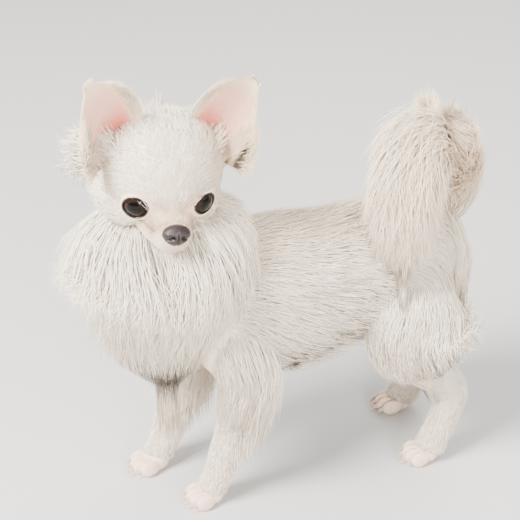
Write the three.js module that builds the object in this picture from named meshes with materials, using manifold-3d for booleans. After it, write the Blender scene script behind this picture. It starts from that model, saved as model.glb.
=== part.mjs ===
// A long-coated chihuahua, life size, standing with its head turned to its left and its tail curled
// over its left hip. Millimetres, +Z up. The dog faces -Y and its left side is +X.
import * as THREE from "three";
import { ParametricGeometry } from "three/addons/geometries/ParametricGeometry.js";
import { mergeVertices } from "three/addons/utils/BufferGeometryUtils.js";
import Module from "manifold-3d";

const wasm = await Module();
wasm.setup();

// Driving dimensions
const GAP = 0.34; // between nodes that touch
const SLIVER = 0.1; // edges and slivers finer than this are closed up
const BEND_RADIUS = 700; // the spine curves to the left in this arc
const HEAD_AT = [13.6, -89.5, 226]; // the middle of the skull
const HEAD_TURN = { yaw: 86.5, pitch: 12.5, roll: 4.6 }; // degrees: to its left, nose down, right ear up

// Stations of the trunk, neck and legs: x, y, z, half width, half height or depth
const TRUNK = [
  [0, -76, 119, 25, 30],
  [0, -58, 125, 36, 43],
  [0, -32, 128, 40, 47],
  [0, 0, 131, 41, 44],
  [0, 30, 136, 38, 38],
  [0, 56, 141, 36, 35],
  [0, 80, 144, 36, 34],
  [0, 99, 144, 30, 28],
];
const NECK = [
  [0, -88, 204, 22, 30],
  [2, -86, 189, 31, 36],
  [3, -81, 170, 38, 40],
  [0, -82, 147, 36, 35],
  [0, -86, 126, 31, 27],
  [0, -86, 108, 22, 19],
];
const FORELEG = [
  [26, -54, 126, 15, 20],
  [30, -51, 108, 14, 18],
  [33, -47, 90, 12.5, 15],
  [32, -52, 70, 10.5, 12],
  [30, -58, 50, 9, 9.5],
  [28, -62, 34, 8.8, 9],
  [27, -65, 20, 8.8, 9],
  [26, -69, 11, 8.5, 9.5],
];
const THIGH = [
  [24, 76, 134, 14, 24],
  [29, 73, 116, 18, 29],
  [33, 67, 97, 17, 24],
  [32, 77, 78, 12.5, 17],
];
const HINDFOOT = [
  [32, 80, 75, 11.5, 15],
  [30, 94, 62, 9.5, 11.5],
  [30, 104, 50, 8.8, 10],
  [31, 100, 34, 8.6, 9],
  [32, 94, 20, 8.6, 9],
  [33, 89, 11, 8.5, 9.5],
];
const FOREPAW = { at: [25.5, -74], width: 22, length: 25, height: 16 };
const HINDPAW = { at: [33, 84], width: 21, length: 25, height: 15 };
const HIP_HEIGHT = 130; // above which a leg isn't moved by where its foot is set
const FORELEG_AHEAD = { left: 0, right: 16 }; // how far each forefoot is set forwards
const HINDLEG_AHEAD = { left: 0, right: -4 };
const TAIL_UP = [
  [0, 101, 158, 9, 9],
  [0, 109, 176, 9, 9],
  [2, 107, 200, 9, 9],
  [9, 94, 219, 9, 9],
];
const TAIL_DOWN = [
  [11, 90, 222, 9, 9],
  [24, 72, 223, 9, 9],
  [36, 61, 206, 8.5, 8.5],
  [41, 58, 182, 7.5, 7.5],
  [43, 58, 160, 5.5, 5.5],
];

// Head, in a frame of its own: its origin is the middle of the skull and it faces -Y
const SKULL = { at: [0, 1, 3], half: [36, 35, 33] };
const MUZZLE = [
  [0, -12, -16, 21, 16],
  [0, -26, -18, 16, 13.5],
  [0, -35, -19, 12, 11],
  [0, -39, -19, 10, 9.5],
];
const JAW = [
  [0, -6, -26, 14, 9],
  [0, -20, -29, 10.5, 6.5],
  [0, -31, -29.5, 6.5, 5],
];
const CHEEK = { at: [22, -3, -14], half: [13, 19, 16] };
const EYE = { at: [16.6, -18.4, -5.6], radius: 10.3, outward: 27 };
const LID = { half: [9.2, 7.8], rim: 1.7, ahead: 5.4 };
const NOSE = { at: [0, -42.4, -13.4], half: [8, 5.6, 6] };
const NOSTRIL = { at: [3.7, -47.5, -13.2], half: [1.7, 3.4, 1.5] };
const MOUTH = { depth: 0.7, corner: 0.16, front: 0.985, drop: 0.085 };
const EAR = { inner: [14, 1, 34], outer: [37, -5, 8], tip: [47.5, -6, 62], cup: 9, thick: 3.2, sunk: 0.3 };

// Coat: rows of locks on each form. u is the row's place along the form, from and to the parts of a turn
// that it spans from the back or top, count its locks, length, rise and width the size of one, sweep the
// part of a turn that it drifts towards the front or belly, and droop how far its tip hangs.
const LOCK = { sunk: 4, thick: 3.6, jitter: 0.35 };
const RUFF_ROWS = [
  { u: 0.1, from: -0.5, to: 0.5, count: 10, length: 46, rise: 13, width: 24, front: 5 },
  { u: 0.31, from: -0.45, to: 0.55, count: 9, length: 48, rise: 13, width: 24, front: 6 },
  { u: 0.52, from: -0.5, to: 0.5, count: 9, length: 48, rise: 12, width: 24, front: 7, droop: 2 },
  { u: 0.75, from: -0.44, to: 0.56, count: 8, length: 46, rise: 12, width: 22, front: 6, droop: 6 },
];
const BODY_ROWS = [
  { u: 0.12, from: -0.3, to: 0.3, count: 5, length: 54, rise: 9, width: 27, sweep: 0.05 },
  { u: 0.32, from: -0.5, to: 0.5, count: 7, length: 54, rise: 9, width: 30, sweep: 0.05, belly: 5 },
  { u: 0.52, from: -0.44, to: 0.56, count: 7, length: 54, rise: 9, width: 28, sweep: 0.05, belly: 6 },
  { u: 0.71, from: -0.4, to: 0.4, count: 7, length: 50, rise: 9, width: 26, sweep: 0.05 },
  { u: 0.88, from: -0.36, to: 0.36, count: 6, length: 42, rise: 9, width: 23, sweep: 0.04, droop: 6 },
];
const THIGH_ROWS = [
  { u: 0.12, from: 0.08, to: 0.42, count: 3, length: 36, rise: 7, width: 21 },
  { u: 0.42, from: -0.1, to: 0.4, count: 4, length: 38, rise: 9, width: 21, culotte: 9, droop: 3 },
  { u: 0.74, from: -0.14, to: 0.34, count: 4, length: 36, rise: 8, width: 17, culotte: 12, droop: 5 },
];
const SHOULDER_ROWS = [
  { u: 0.08, from: 0.05, to: 0.45, count: 3, length: 38, rise: 7, width: 19 },
  { u: 0.24, from: -0.08, to: 0.36, count: 4, length: 36, rise: 8, width: 17, culotte: 8, droop: 3 },
  { u: 0.42, from: -0.12, to: 0.16, count: 3, length: 34, rise: 7, width: 14, culotte: 9, droop: 5 },
  { u: 0.6, from: -0.1, to: 0.12, count: 2, length: 28, rise: 7, width: 11, culotte: 6, droop: 4 },
];
const TAIL_UP_ROWS = [
  { u: 0.08, from: -0.5, to: 0.5, count: 4, length: 36, rise: 12, width: 19 },
  { u: 0.36, from: -0.4, to: 0.6, count: 5, length: 40, rise: 21, width: 19 },
  { u: 0.7, from: -0.5, to: 0.5, count: 5, length: 42, rise: 26, width: 19 },
];
const PLUME_DEPTH = 16; // of the plume's coat over the bone of the tail, one smooth form
const CHEEK_TUFTS = { columns: 4, length: 27, width: 17, top: 10, bottom: -30 };
const EAR_TUFTS = { outer: 4, inner: 2, length: 24, width: 11 };

const skyward = new THREE.Vector3(0, 0, 1);
const quarter = Math.PI / 2;
const vec = (point) => new THREE.Vector3(...point);

// Places: the spine's arc, the head's frame and the mirror of a side
function bend(point) {
  const angle = -point.y / BEND_RADIUS;
  const arm = BEND_RADIUS - point.x;
  return new THREE.Vector3(BEND_RADIUS - arm * Math.cos(angle), -arm * Math.sin(angle), point.z);
}

const headTurn = new THREE.Matrix4()
  .makeRotationZ(THREE.MathUtils.degToRad(HEAD_TURN.yaw))
  .multiply(new THREE.Matrix4().makeRotationX(THREE.MathUtils.degToRad(HEAD_TURN.pitch)))
  .multiply(new THREE.Matrix4().makeRotationY(THREE.MathUtils.degToRad(HEAD_TURN.roll)));
const inHead = (point) => point.clone().applyMatrix4(headTurn).add(vec(HEAD_AT));
const sideways = (point, sign) => [point[0] * sign, ...point.slice(1)];

// A repeatable source of random numbers from 0 to 1
function seeded(seed) {
  let state = seed;
  return () => {
    state = (state * 1664525 + 1013904223) % 4294967296;
    return state / 4294967296;
  };
}

// A closed geometry as a solid, facing out
function solidOf(geometry) {
  geometry.deleteAttribute("normal");
  geometry.deleteAttribute("uv");
  const merged = mergeVertices(geometry, 1e-4);
  const place = merged.attributes.position;
  const index = merged.index.array;
  const corners = [0, 1, 2].map(() => new THREE.Vector3());
  const kept = [];
  let volume = 0;
  for (let i = 0; i < index.length; i += 3) {
    const [a, b, c] = index.slice(i, i + 3);
    if (a === b || b === c || c === a) continue;
    [a, b, c].forEach((corner, k) => corners[k].fromBufferAttribute(place, corner));
    volume += corners[0].dot(corners[1].clone().cross(corners[2]));
    kept.push(a, b, c);
  }
  if (volume < 0) kept.reverse();
  const mesh = new wasm.Mesh({
    numProp: 3,
    vertProperties: new Float32Array(place.array),
    triVerts: new Uint32Array(kept),
  });
  return new wasm.Manifold(mesh);
}

const surfaceSolid = (at, around, along) =>
  solidOf(new ParametricGeometry((u, v, target) => target.copy(at(v, u)), around, along));

function union(solids) {
  return solids.reduce((whole, solid) => whole.add(solid));
}

// An oval body in the head's frame or the trunk's
function oval({ at, half }, sign, grow, place, around = 20, along = 12) {
  const surface = (u, v) => {
    const tilt = u * Math.PI;
    const turn = v * 2 * Math.PI;
    const ring = Math.sin(tilt);
    return place(new THREE.Vector3(
      at[0] * sign + (half[0] + grow) * ring * Math.cos(turn),
      at[1] + (half[1] + grow) * ring * Math.sin(turn),
      at[2] + (half[2] + grow) * Math.cos(tilt),
    ));
  };
  return surfaceSolid(surface, around, along);
}

// A body form: an oval section carried along a smooth line of stations, with round ends.
// point(u, around, height) lies height outside it, u of the way along, and around is the part of a turn
// from its back or top, plus to the dog's left.
function bodyForm(stations, place = bend, rounding = 0.7) {
  const line = new THREE.CatmullRomCurve3(stations.map(([x, y, z]) => new THREE.Vector3(x, y, z)));
  const sizes = new THREE.CatmullRomCurve3(stations.map(([, , , a, b]) => new THREE.Vector3(a, b, 0)));
  const length = line.getLength();
  const ring = (u, around, grow, swell, ahead) => {
    const along = THREE.MathUtils.clamp(u, 0, 1);
    const tangent = line.getTangent(along);
    const half = sizes.getPoint(along);
    const side = new THREE.Vector3(1, 0, 0).addScaledVector(tangent, -tangent.x).normalize();
    const back = side.clone().cross(tangent);
    const angle = (0.25 - around) * 2 * Math.PI;
    return line.getPoint(along)
      .addScaledVector(tangent, ahead + (u - along) * length)
      .addScaledVector(side, (half.x + grow) * swell * Math.cos(angle))
      .addScaledVector(back, (half.y + grow) * swell * Math.sin(angle));
  };
  const capped = (t, around, grow, rows) => {
    const cap = 3 / rows;
    const end = t < 0.5 ? 0 : 1;
    const into = Math.min(end ? 1 - t : t, cap) / cap;
    const half = sizes.getPoint(end);
    const reach = rounding * Math.min(half.x, half.y) + grow;
    const u = THREE.MathUtils.clamp((t - cap) / (1 - 2 * cap), 0, 1);
    const swell = Math.sin(into * quarter);
    return place(ring(u, around, grow, swell, (end ? 1 : -1) * reach * Math.cos(into * quarter)));
  };
  return {
    length,
    point: (u, around, height = 0) => place(ring(u, around, height, 1, 0)),
    solid: (grow, around, rows) => surfaceSolid((t, v) => capped(t, v, grow, rows), around, rows),
  };
}

// A flat lock of hair: a flattened section carried along a line, drawn to a point at both ends.
// line(t) gives its middle and facing(t) the way its flat side faces.
function lockSolid({ line, facing, width, thick = LOCK.thick, steps = 5 }, grow) {
  const surface = (t, v) => {
    const tangent = line(Math.min(t + 0.05, 1)).sub(line(Math.max(t - 0.05, 0))).normalize();
    const across = tangent.clone().cross(facing(t)).normalize();
    const out = across.clone().cross(tangent);
    const open = t > 0 && t < 1 ? 1 : 0;
    const taper = Math.min(1, 0.7 + t) * (1 - t ** 2) ** 0.75;
    const turn = (v + 0.25) * 2 * Math.PI;
    return line(t)
      .addScaledVector(tangent, (2 * t - 1) * grow * (1 - open))
      .addScaledVector(across, open * ((width / 2) * taper + grow) * Math.cos(turn))
      .addScaledVector(out, open * ((thick / 2) * taper + grow) * Math.sin(turn));
  };
  return surfaceSolid(surface, 3, steps);
}

// The locks of some rows on a form, rooted under its surface and lying along it
function coatLocks(form, rows, random, sign = 1) {
  const vary = (share) => 1 + (random() - 0.5) * share;
  return rows.flatMap(({ u, from, to, count, length, rise, width, ...rest }) => {
    const { sweep = 0, droop = 0, front = 0, belly = 0, culotte = 0, steps = 4 } = rest;
    return Array.from({ length: count }, (_, i) => {
      const spread = (i + 0.5 + (random() - 0.5) * LOCK.jitter) / count;
      const around = sign * (from + (to - from) * spread);
      const start = u + (random() - 0.5) * 0.05;
      const long = (length * vary(0.3)) / form.length;
      const turned = Math.abs(around) > 0.5 ? around - Math.sign(around) : around;
      const toFront = Math.max(0, Math.abs(turned) * 4 - 1);
      const toBack = Math.max(0, 1 - Math.abs(turned) * 8);
      const drift = Math.sign(turned) * sweep * Math.min(1, Math.abs(turned) * 6) + (random() - 0.5) * 0.03;
      const high = rise + front * toFront + culotte * toBack * vary(0.5);
      const fall = droop * vary(0.6) + belly * toFront;
      const at = (t, lifted) =>
        form.point(start + long * t, around + drift * t, (high + LOCK.sunk) * t ** 0.8 - LOCK.sunk + lifted)
          .addScaledVector(skyward, -fall * t * t);
      const line = (t) => at(t, 0);
      const facing = (t) => at(t, 1).sub(at(t, 0));
      return { line, facing, width: width * vary(0.25), steps };
    });
  });
}

// A lock along a curve through its root, middle and tip in the head's frame
function tuft(points, facing, width) {
  const curve = new THREE.QuadraticBezierCurve3(...points.map(inHead));
  const face = inHead(facing).sub(vec(HEAD_AT));
  return { line: (t) => curve.getPoint(t), facing: () => face, width, steps: 4 };
}

// Cheek hair, swept outwards, back and down from the sides of the face
function cheekTufts(random) {
  const { columns, length, width, top, bottom } = CHEEK_TUFTS;
  const places = Array.from({ length: columns * 2 }, (_, i) => [i % columns, Math.floor(i / columns)]);
  return [1, -1].flatMap((sign) => places.map(([step, row]) => {
    const height = top + ((bottom - top) * (step + 0.5 * row)) / (columns - 1);
    const lean = 0.25 + (0.75 * (top - height)) / (top - bottom);
    const belly = Math.sqrt(Math.max(0.1, 1 - ((height - SKULL.at[2]) / 37) ** 2));
    const root = new THREE.Vector3(sign * 29 * belly, -4 + row * 13, height);
    const long = length * (0.85 + 0.3 * random());
    const lie = new THREE.Vector3(sign * 0.75, 0.35 + 0.25 * row, -0.75 * lean).normalize();
    const middle = root.clone().addScaledVector(lie, long * 0.5).add(new THREE.Vector3(sign * 3, 0, 1));
    const tip = root.clone().addScaledVector(lie, long).add(new THREE.Vector3(0, 2, -4 * lean));
    return tuft([root, middle, tip], new THREE.Vector3(sign * 0.5, -1, 0.4), width);
  }));
}

// Hair of one ear: a fringe from its outer edge, and a tuft up from its inner corner
function earTufts(sign, random) {
  const leaf = earLeaf(sign);
  const { outer, inner, length, width } = EAR_TUFTS;
  const fringe = Array.from({ length: outer }, (_, i) => {
    const root = leaf(0.3 + (0.42 * i) / outer, 0.82, 0);
    const lie = new THREE.Vector3(sign * (0.9 - 0.1 * i), 0.3, -0.5 + 0.2 * i).normalize();
    const tip = root.clone().addScaledVector(lie, (length - 2.5 * i) * (0.85 + 0.3 * random()));
    const middle = root.clone().lerp(tip, 0.55).add(new THREE.Vector3(0, 0, 2.5));
    return tuft([root, middle, tip], new THREE.Vector3(0, -1, 0.2), width);
  });
  const corner = Array.from({ length: inner }, (_, i) => {
    const root = leaf(0.3 + 0.1 * i, -0.85, 0);
    const lie = new THREE.Vector3(sign * 0.3, -0.35, 1).normalize();
    const tip = root.clone().addScaledVector(lie, length * (0.7 + 0.2 * random()));
    const middle = root.clone().lerp(tip, 0.5).add(new THREE.Vector3(-sign * 2, -1, 0));
    return tuft([root, middle, tip], new THREE.Vector3(-sign * 0.4, -1, 0), width * 0.8);
  });
  return [...fringe, ...corner];
}

// Each leg's stations, mirrored and with the foot set forwards
function legStations(stations, sign, ahead) {
  return stations.map(([x, y, z, a, b]) => [x * sign, y - ahead * (1 - z / HIP_HEIGHT), z, a, b]);
}

// A paw: a low oval pad with four toes in front, and a claw on each
function pawSolid({ at, width, length, height }, sign, ahead, grow) {
  const [x, y] = at;
  const middle = [x * sign, y - ahead];
  const pad = { at: [middle[0], middle[1] + 3, 6.5], half: [width / 2 - 1, length / 2 - 2, height / 2 + 1.5] };
  const toes = [-1.5, -0.5, 0.5, 1.5].map((step) => {
    const outer = Math.abs(step) > 1;
    const along = middle[1] - length / 2 + (outer ? 7.5 : 5);
    return { at: [middle[0] + (step * width) / 4.3, along, 5], half: [3.4, 7.2, 6.2] };
  });
  const claws = toes.map(({ at: [cx, cy] }) => ({ at: [cx, cy - 7, 3.6], half: [0.9, 2.6, 1.1] }));
  const solids = [pad, ...toes].map((form) => oval(form, 1, grow, bend, 7, 5));
  return union([...solids, ...claws.map((form) => oval(form, 1, grow, bend, 4, 3))]);
}

function floorBlock() {
  return solidOf(new THREE.BoxGeometry(600, 600, 60).translate(0, 0, -30));
}

// Head: skull, cheeks, muzzle, jaw and the rim of the lids, with the line of the mouth cut in
function eyeFacing(sign) {
  const outward = THREE.MathUtils.degToRad(EYE.outward);
  return new THREE.Vector3(Math.sin(outward) * sign, -Math.cos(outward), 0);
}

const eyeSolid = (sign, grow) =>
  oval({ at: EYE.at, half: [EYE.radius, EYE.radius, EYE.radius] }, sign, grow, inHead, 14, 8);

function lidSolid(sign, grow) {
  const facing = eyeFacing(sign);
  const across = facing.clone().cross(skyward);
  const middle = vec(sideways(EYE.at, sign)).addScaledVector(facing, LID.ahead);
  const surface = (u, v) => {
    const turn = u * 2 * Math.PI;
    const round = v * 2 * Math.PI;
    const out = across.clone().multiplyScalar(Math.cos(turn)).addScaledVector(skyward, Math.sin(turn));
    const rim = across.clone().multiplyScalar(LID.half[0] * Math.cos(turn))
      .addScaledVector(skyward, LID.half[1] * Math.sin(turn));
    return inHead(middle.clone().add(rim)
      .addScaledVector(out, (LID.rim * 1.4 + grow) * Math.cos(round))
      .addScaledVector(facing, (LID.rim + grow) * Math.sin(round) - 1.6 * Math.cos(turn) ** 2));
  };
  return surfaceSolid(surface, 5, 14);
}

const muzzle = bodyForm(MUZZLE, inHead, 0.55);
const jaw = bodyForm(JAW, inHead, 0.6);

function mouthCut() {
  const path = (t) => {
    const side = Math.abs(t * 2 - 1);
    const u = MOUTH.front - (MOUTH.front - MOUTH.corner) * side ** 1.3;
    const around = (t < 0.5 ? 1 : -1) * (0.5 - 0.2 * Math.min(1, side * 2.2) - MOUTH.drop * side * 0.3);
    return muzzle.point(u, around, -0.3);
  };
  const surface = (u, v) => {
    const here = path(u);
    const turn = v * 2 * Math.PI;
    const ends = Math.sin(Math.PI * THREE.MathUtils.clamp(u, 0, 1)) ** 0.4;
    return here.add(new THREE.Vector3(0, 0, MOUTH.depth * ends * Math.sin(turn)))
      .add(new THREE.Vector3(Math.cos(turn), Math.sin(turn) * 0.2, 0).multiplyScalar(MOUTH.depth * 2 * ends));
  };
  return surfaceSolid(surface, 4, 18);
}

function headCore(grow) {
  const forms = [
    oval(SKULL, 1, grow, inHead, 20, 12),
    oval(CHEEK, 1, grow, inHead, 12, 7),
    oval(CHEEK, -1, grow, inHead, 12, 7),
    muzzle.solid(grow, 14, 9),
    jaw.solid(grow, 10, 8),
    lidSolid(1, grow),
    lidSolid(-1, grow),
  ];
  return grow > 0 ? union(forms) : union(forms).subtract(mouthCut());
}

function noseSolid(grow) {
  const leather = oval(NOSE, 1, grow, inHead, 14, 8);
  if (grow > 0) return leather;
  return leather.subtract(oval(NOSTRIL, 1, 0, inHead, 8, 6)).subtract(oval(NOSTRIL, -1, 0, inHead, 8, 6));
}

// Ears: a leaf that narrows to a round tip, cupped forwards, and let into the skull at its root
function earLeaf(sign) {
  const [inner, outer, tip] = [EAR.inner, EAR.outer, EAR.tip].map((point) => vec(sideways(point, sign)));
  const root = inner.clone().add(outer).multiplyScalar(0.5);
  const across = outer.clone().sub(inner).multiplyScalar(0.5);
  const rise = tip.clone().sub(root);
  const back = across.clone().cross(rise).normalize();
  if (back.y < 0) back.negate();
  return (u, r, depth) => {
    const s = u * (1 + EAR.sunk) - EAR.sunk;
    const up = Math.max(s, 0);
    const wide = s < 0 ? 1 + s * 0.5 : Math.max(0, 1 - up ** 2.1) ** 0.62 * (1 + 0.16 * Math.sin(Math.PI * up));
    const cup = EAR.cup * (1 - r * r) * (1 - 0.55 * up) * wide;
    return root.clone()
      .addScaledVector(rise, s)
      .addScaledVector(across, r * wide)
      .addScaledVector(back, cup + depth);
  };
}

function earSolid(sign, grow) {
  const leaf = earLeaf(sign);
  const surface = (u, v) => {
    const turn = v * 2 * Math.PI;
    const closing = Math.min(1, Math.sin(Math.PI * u) * 3);
    const half = (EAR.thick / 2) * (1 - 0.55 * u) + grow;
    const edge = u > 0 && u < 1 ? 1 : 0;
    return inHead(leaf(u, Math.cos(turn) * (1 + grow * 0.09) * edge, half * closing * edge * Math.sin(turn)));
  };
  return surfaceSolid(surface, 14, 10);
}

// A leg or a length of one: an oval limb, with its paw, if any, cut flat at the floor
function legOf(stations, ahead, rows, paw) {
  return (sign) => {
    const forward = sign > 0 ? ahead.left : ahead.right;
    const limb = bodyForm(legStations(stations, sign, forward));
    const bare = (grow) => limb.solid(grow, 10, rows);
    const withPaw = (grow) => bare(grow).add(pawSolid(paw, sign, forward, grow)).subtract(floorBlock());
    return { limb, core: (grow) => (grow > 0 || !paw ? bare(grow) : withPaw(grow)) };
  };
}
const foreleg = legOf(FORELEG, FORELEG_AHEAD, 13, FOREPAW);
const thigh = legOf(THIGH, HINDLEG_AHEAD, 10);
const hindfoot = legOf(HINDFOOT, HINDLEG_AHEAD, 12, HINDPAW);

const trunkForm = bodyForm(TRUNK);
const neckForm = bodyForm(NECK);
const tailUpForm = bodyForm(TAIL_UP);
const tailDownForm = bodyForm(TAIL_DOWN);

const random = seeded(7);
const COAT = { colour: 0xf3ece2, rough: 0.9 };
const EYE_GLOSS = { colour: 0x120c0a, rough: 0.08 };

function legPart(name, leg, rows, sign) {
  const { limb, core } = leg(sign);
  return { name, core, locks: coatLocks(limb, rows, random, sign), ...COAT };
}

// The parts in order: each is cut by the cores of those before it
const parts = [
  { name: "eye_left", core: (grow) => eyeSolid(1, grow), ...EYE_GLOSS },
  { name: "eye_right", core: (grow) => eyeSolid(-1, grow), ...EYE_GLOSS },
  { name: "nose", core: noseSolid, colour: 0x2a2022, rough: 0.45 },
  { name: "head", core: headCore, locks: cheekTufts(random), ...COAT },
  { name: "ear_left", core: (grow) => earSolid(1, grow), locks: earTufts(1, random), ...COAT },
  { name: "ear_right", core: (grow) => earSolid(-1, grow), locks: earTufts(-1, random), ...COAT },
  legPart("foreleg_left", foreleg, SHOULDER_ROWS, 1),
  legPart("foreleg_right", foreleg, SHOULDER_ROWS, -1),
  legPart("thigh_left", thigh, THIGH_ROWS, 1),
  legPart("thigh_right", thigh, THIGH_ROWS, -1),
  legPart("hindleg_left", hindfoot, [], 1),
  legPart("hindleg_right", hindfoot, [], -1),
  { name: "neck", core: (grow) => neckForm.solid(grow, 16, 10), locks: coatLocks(neckForm, RUFF_ROWS, random) },
  { name: "torso", core: (grow) => trunkForm.solid(grow, 18, 12), locks: coatLocks(trunkForm, BODY_ROWS, random) },
  { name: "tail_root", core: (grow) => tailUpForm.solid(grow, 8, 10), locks: coatLocks(tailUpForm, TAIL_UP_ROWS, random) },
  { name: "tail_plume", core: (grow) => tailDownForm.solid(grow + PLUME_DEPTH, 10, 12) },
];

// A solid's largest closed piece
function largest(solid) {
  const pieces = solid.decompose();
  return pieces.reduce((best, piece) => (piece.volume() > best.volume() ? piece : best));
}

function meshOf(name, solid, { colour, rough }) {
  const { vertProperties, triVerts } = solid.getMesh();
  const geometry = new THREE.BufferGeometry();
  geometry.setAttribute("position", new THREE.BufferAttribute(vertProperties, 3));
  geometry.setIndex(new THREE.BufferAttribute(triVerts, 1));
  geometry.computeVertexNormals();
  const material = new THREE.MeshStandardMaterial({ color: colour, roughness: rough, metalness: 0 });
  const mesh = new THREE.Mesh(geometry, material);
  mesh.name = name;
  return mesh;
}

// Each node is its core and its locks, clear of the cores of its neighbours and of earlier nodes' locks
const chihuahua = new THREE.Group();
const less = (solid, cutters) => cutters.reduce((rest, cutter) => rest.subtract(cutter), solid);
const grownCores = parts.map(({ core }) => core(GAP));
const grownLocks = parts.map(({ locks = [] }) => locks.map((lock) => lockSolid(lock, 2 * GAP)));
const finished = [];
parts.forEach(({ name, core, locks = [], colour = COAT.colour, rough = COAT.rough }, index) => {
  const others = grownCores.filter((_, other) => other !== index);
  const bare = less(core(0), grownCores.slice(0, index));
  const coat = locks.map((lock) => less(lockSolid(lock, 0), others));
  const apart = locks.length > 0 ? [...grownLocks.slice(0, index).flat(), ...finished] : [];
  const whole = largest(less(union([bare, ...coat]), apart)).simplify(SLIVER);
  finished.push(whole);
  chihuahua.add(meshOf(name, whole, { colour, rough }));
});

// The origin is on the floor, under the middle of the whole
const box = new THREE.Box3().setFromObject(chihuahua);
const middle = box.getCenter(new THREE.Vector3());
chihuahua.position.set(-middle.x, -middle.y, -box.min.z);

export default chihuahua;
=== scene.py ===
from functools import lru_cache

import bpy
import numpy as np
from mathutils import Matrix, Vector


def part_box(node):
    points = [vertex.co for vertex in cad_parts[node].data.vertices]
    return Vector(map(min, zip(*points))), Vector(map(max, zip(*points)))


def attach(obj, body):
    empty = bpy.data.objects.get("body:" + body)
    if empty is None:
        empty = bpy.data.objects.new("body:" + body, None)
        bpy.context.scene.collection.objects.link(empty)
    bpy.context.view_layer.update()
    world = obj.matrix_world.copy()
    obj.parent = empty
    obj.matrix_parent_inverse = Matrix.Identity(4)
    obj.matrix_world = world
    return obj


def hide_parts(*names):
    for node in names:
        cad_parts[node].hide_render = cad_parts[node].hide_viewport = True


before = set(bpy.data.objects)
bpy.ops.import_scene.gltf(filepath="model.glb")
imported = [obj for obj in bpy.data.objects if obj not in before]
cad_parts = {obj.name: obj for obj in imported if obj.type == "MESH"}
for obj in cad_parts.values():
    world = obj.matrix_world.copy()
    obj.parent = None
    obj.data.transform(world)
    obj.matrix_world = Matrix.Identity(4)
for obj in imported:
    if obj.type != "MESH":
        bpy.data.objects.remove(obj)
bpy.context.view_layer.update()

bl_info = {
    "name": "Long-coated chihuahua",
    "version": (1, 0, 0),
    "blender": (4, 5, 0),
    "location": "3D View > Sidebar > Chihuahua",
    "description": "Skin, coat, eyes, nose, ears and stage of a still, life-size chihuahua",
    "category": "Add Mesh",
}

# Design frame: millimetres, the dog faces -Y, its left is +X, and the floor is at 0
MM = 0.001
TURN = 2 * np.pi
BEND_RADIUS = 700.0
HEAD_AT = np.array([13.6, -89.5, 226.0])
HEAD_TURN = np.radians([12.5, 4.6, 86.5])  # pitch, roll and yaw
EYE_AT = np.array([16.6, -18.4, -5.6])
EYE_RADIUS = 10.3
EYE_OUTWARD = np.radians(27)
EYE_TILT = np.radians(10)
LID_HALF = np.array([6.8, 6.1])
NOSE_AT = np.array([0.0, -42.6, -13.9])
NOSE_HALF = np.array([8.2, 5.8, 6.8])
HIP_HEIGHT = 130.0
FORE_AHEAD = {1: 0.0, -1: 16.0}
HIND_AHEAD = {1: 0.0, -1: -4.0}
EAR_INNER = np.array([14.0, 1.0, 34.0])
EAR_OUTER = np.array([37.0, -5.0, 8.0])
EAR_TIP = np.array([47.5, -6.0, 62.0])
EAR_CUP = 9.0
EAR_SUNK = 0.3

# Stations of each form: x, y, z, half width, half height or depth
TRUNK = [(0, -76, 119, 25, 30), (0, -58, 125, 36, 43), (0, -32, 128, 40, 47), (0, 0, 131, 41, 44),
         (0, 30, 136, 38, 38), (0, 56, 141, 36, 35), (0, 80, 144, 36, 34), (0, 99, 144, 30, 28)]
NECK = [(0, -88, 204, 22, 30), (2, -86, 189, 31, 36), (3, -81, 170, 38, 40),
        (0, -82, 147, 36, 35), (0, -86, 126, 31, 27), (0, -86, 108, 22, 19)]
FORELEG = [(26, -54, 126, 15, 20), (30, -51, 108, 14, 18), (33, -47, 90, 12.5, 15), (32, -52, 70, 10.5, 12),
           (30, -58, 50, 9, 9.5), (28, -62, 34, 8.8, 9), (27, -65, 20, 8.8, 9), (26, -69, 11, 8.5, 9.5)]
THIGH = [(24, 76, 134, 14, 24), (29, 73, 116, 18, 29), (33, 67, 97, 17, 24), (32, 77, 78, 12.5, 17)]
HINDFOOT = [(32, 80, 75, 11.5, 15), (30, 94, 62, 9.5, 11.5), (30, 104, 50, 8.8, 10), (31, 100, 34, 8.6, 9),
            (32, 94, 20, 8.6, 9), (33, 89, 11, 8.5, 9.5)]
TAIL_UP = [(0, 101, 158, 9, 9), (0, 109, 176, 9, 9), (2, 107, 200, 9, 9), (9, 94, 219, 9, 9)]
TAIL_DOWN = [(11, 90, 222, 9, 9), (24, 72, 223, 9, 9), (36, 61, 206, 8.5, 8.5), (41, 58, 182, 7.5, 7.5),
             (43, 58, 160, 5.5, 5.5)]
SKULL_AT = (1.0, 3.0)
SKULL_HALF = (36.0, 34.0)
SKULL_LEAN = np.radians(24)
CHEEK = [(21, -15, -13, 10, 11), (23, -4, -13, 13, 15), (23, 8, -12, 12, 13)]
MUZZLE = [(0, -12, -16, 21, 16), (0, -26, -18, 16, 13.5), (0, -35, -19, 12, 11), (0, -39, -19, 10, 9.5)]
JAW = [(0, -6, -26, 14, 9), (0, -20, -29, 10.5, 6.5), (0, -31, -29.5, 6.5, 5)]
FOREPAW = dict(at=(25.5, -74), width=22.0, length=25.0, height=16.0)
HINDPAW = dict(at=(33, 84), width=21.0, length=25.0, height=15.0)

HAUNCH = dict(at=np.array([21.0, 78.0, 124.0]), half=np.array([19.0, 26.0, 34.0]))
SHOULDER = dict(at=np.array([23.0, -54.0, 122.0]), half=np.array([17.0, 25.0, 34.0]))

# Camera of the photograph, in the design frame
CAMERA_TARGET = np.array([-78.55, 8.99, 110.0])
CAMERA_AZIMUTH = np.radians(68.4)
CAMERA_ELEVATION = np.radians(26.0)
CAMERA_DISTANCE = 930.6
CAMERA_VIEW = np.radians(22.0)


# Places

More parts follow.
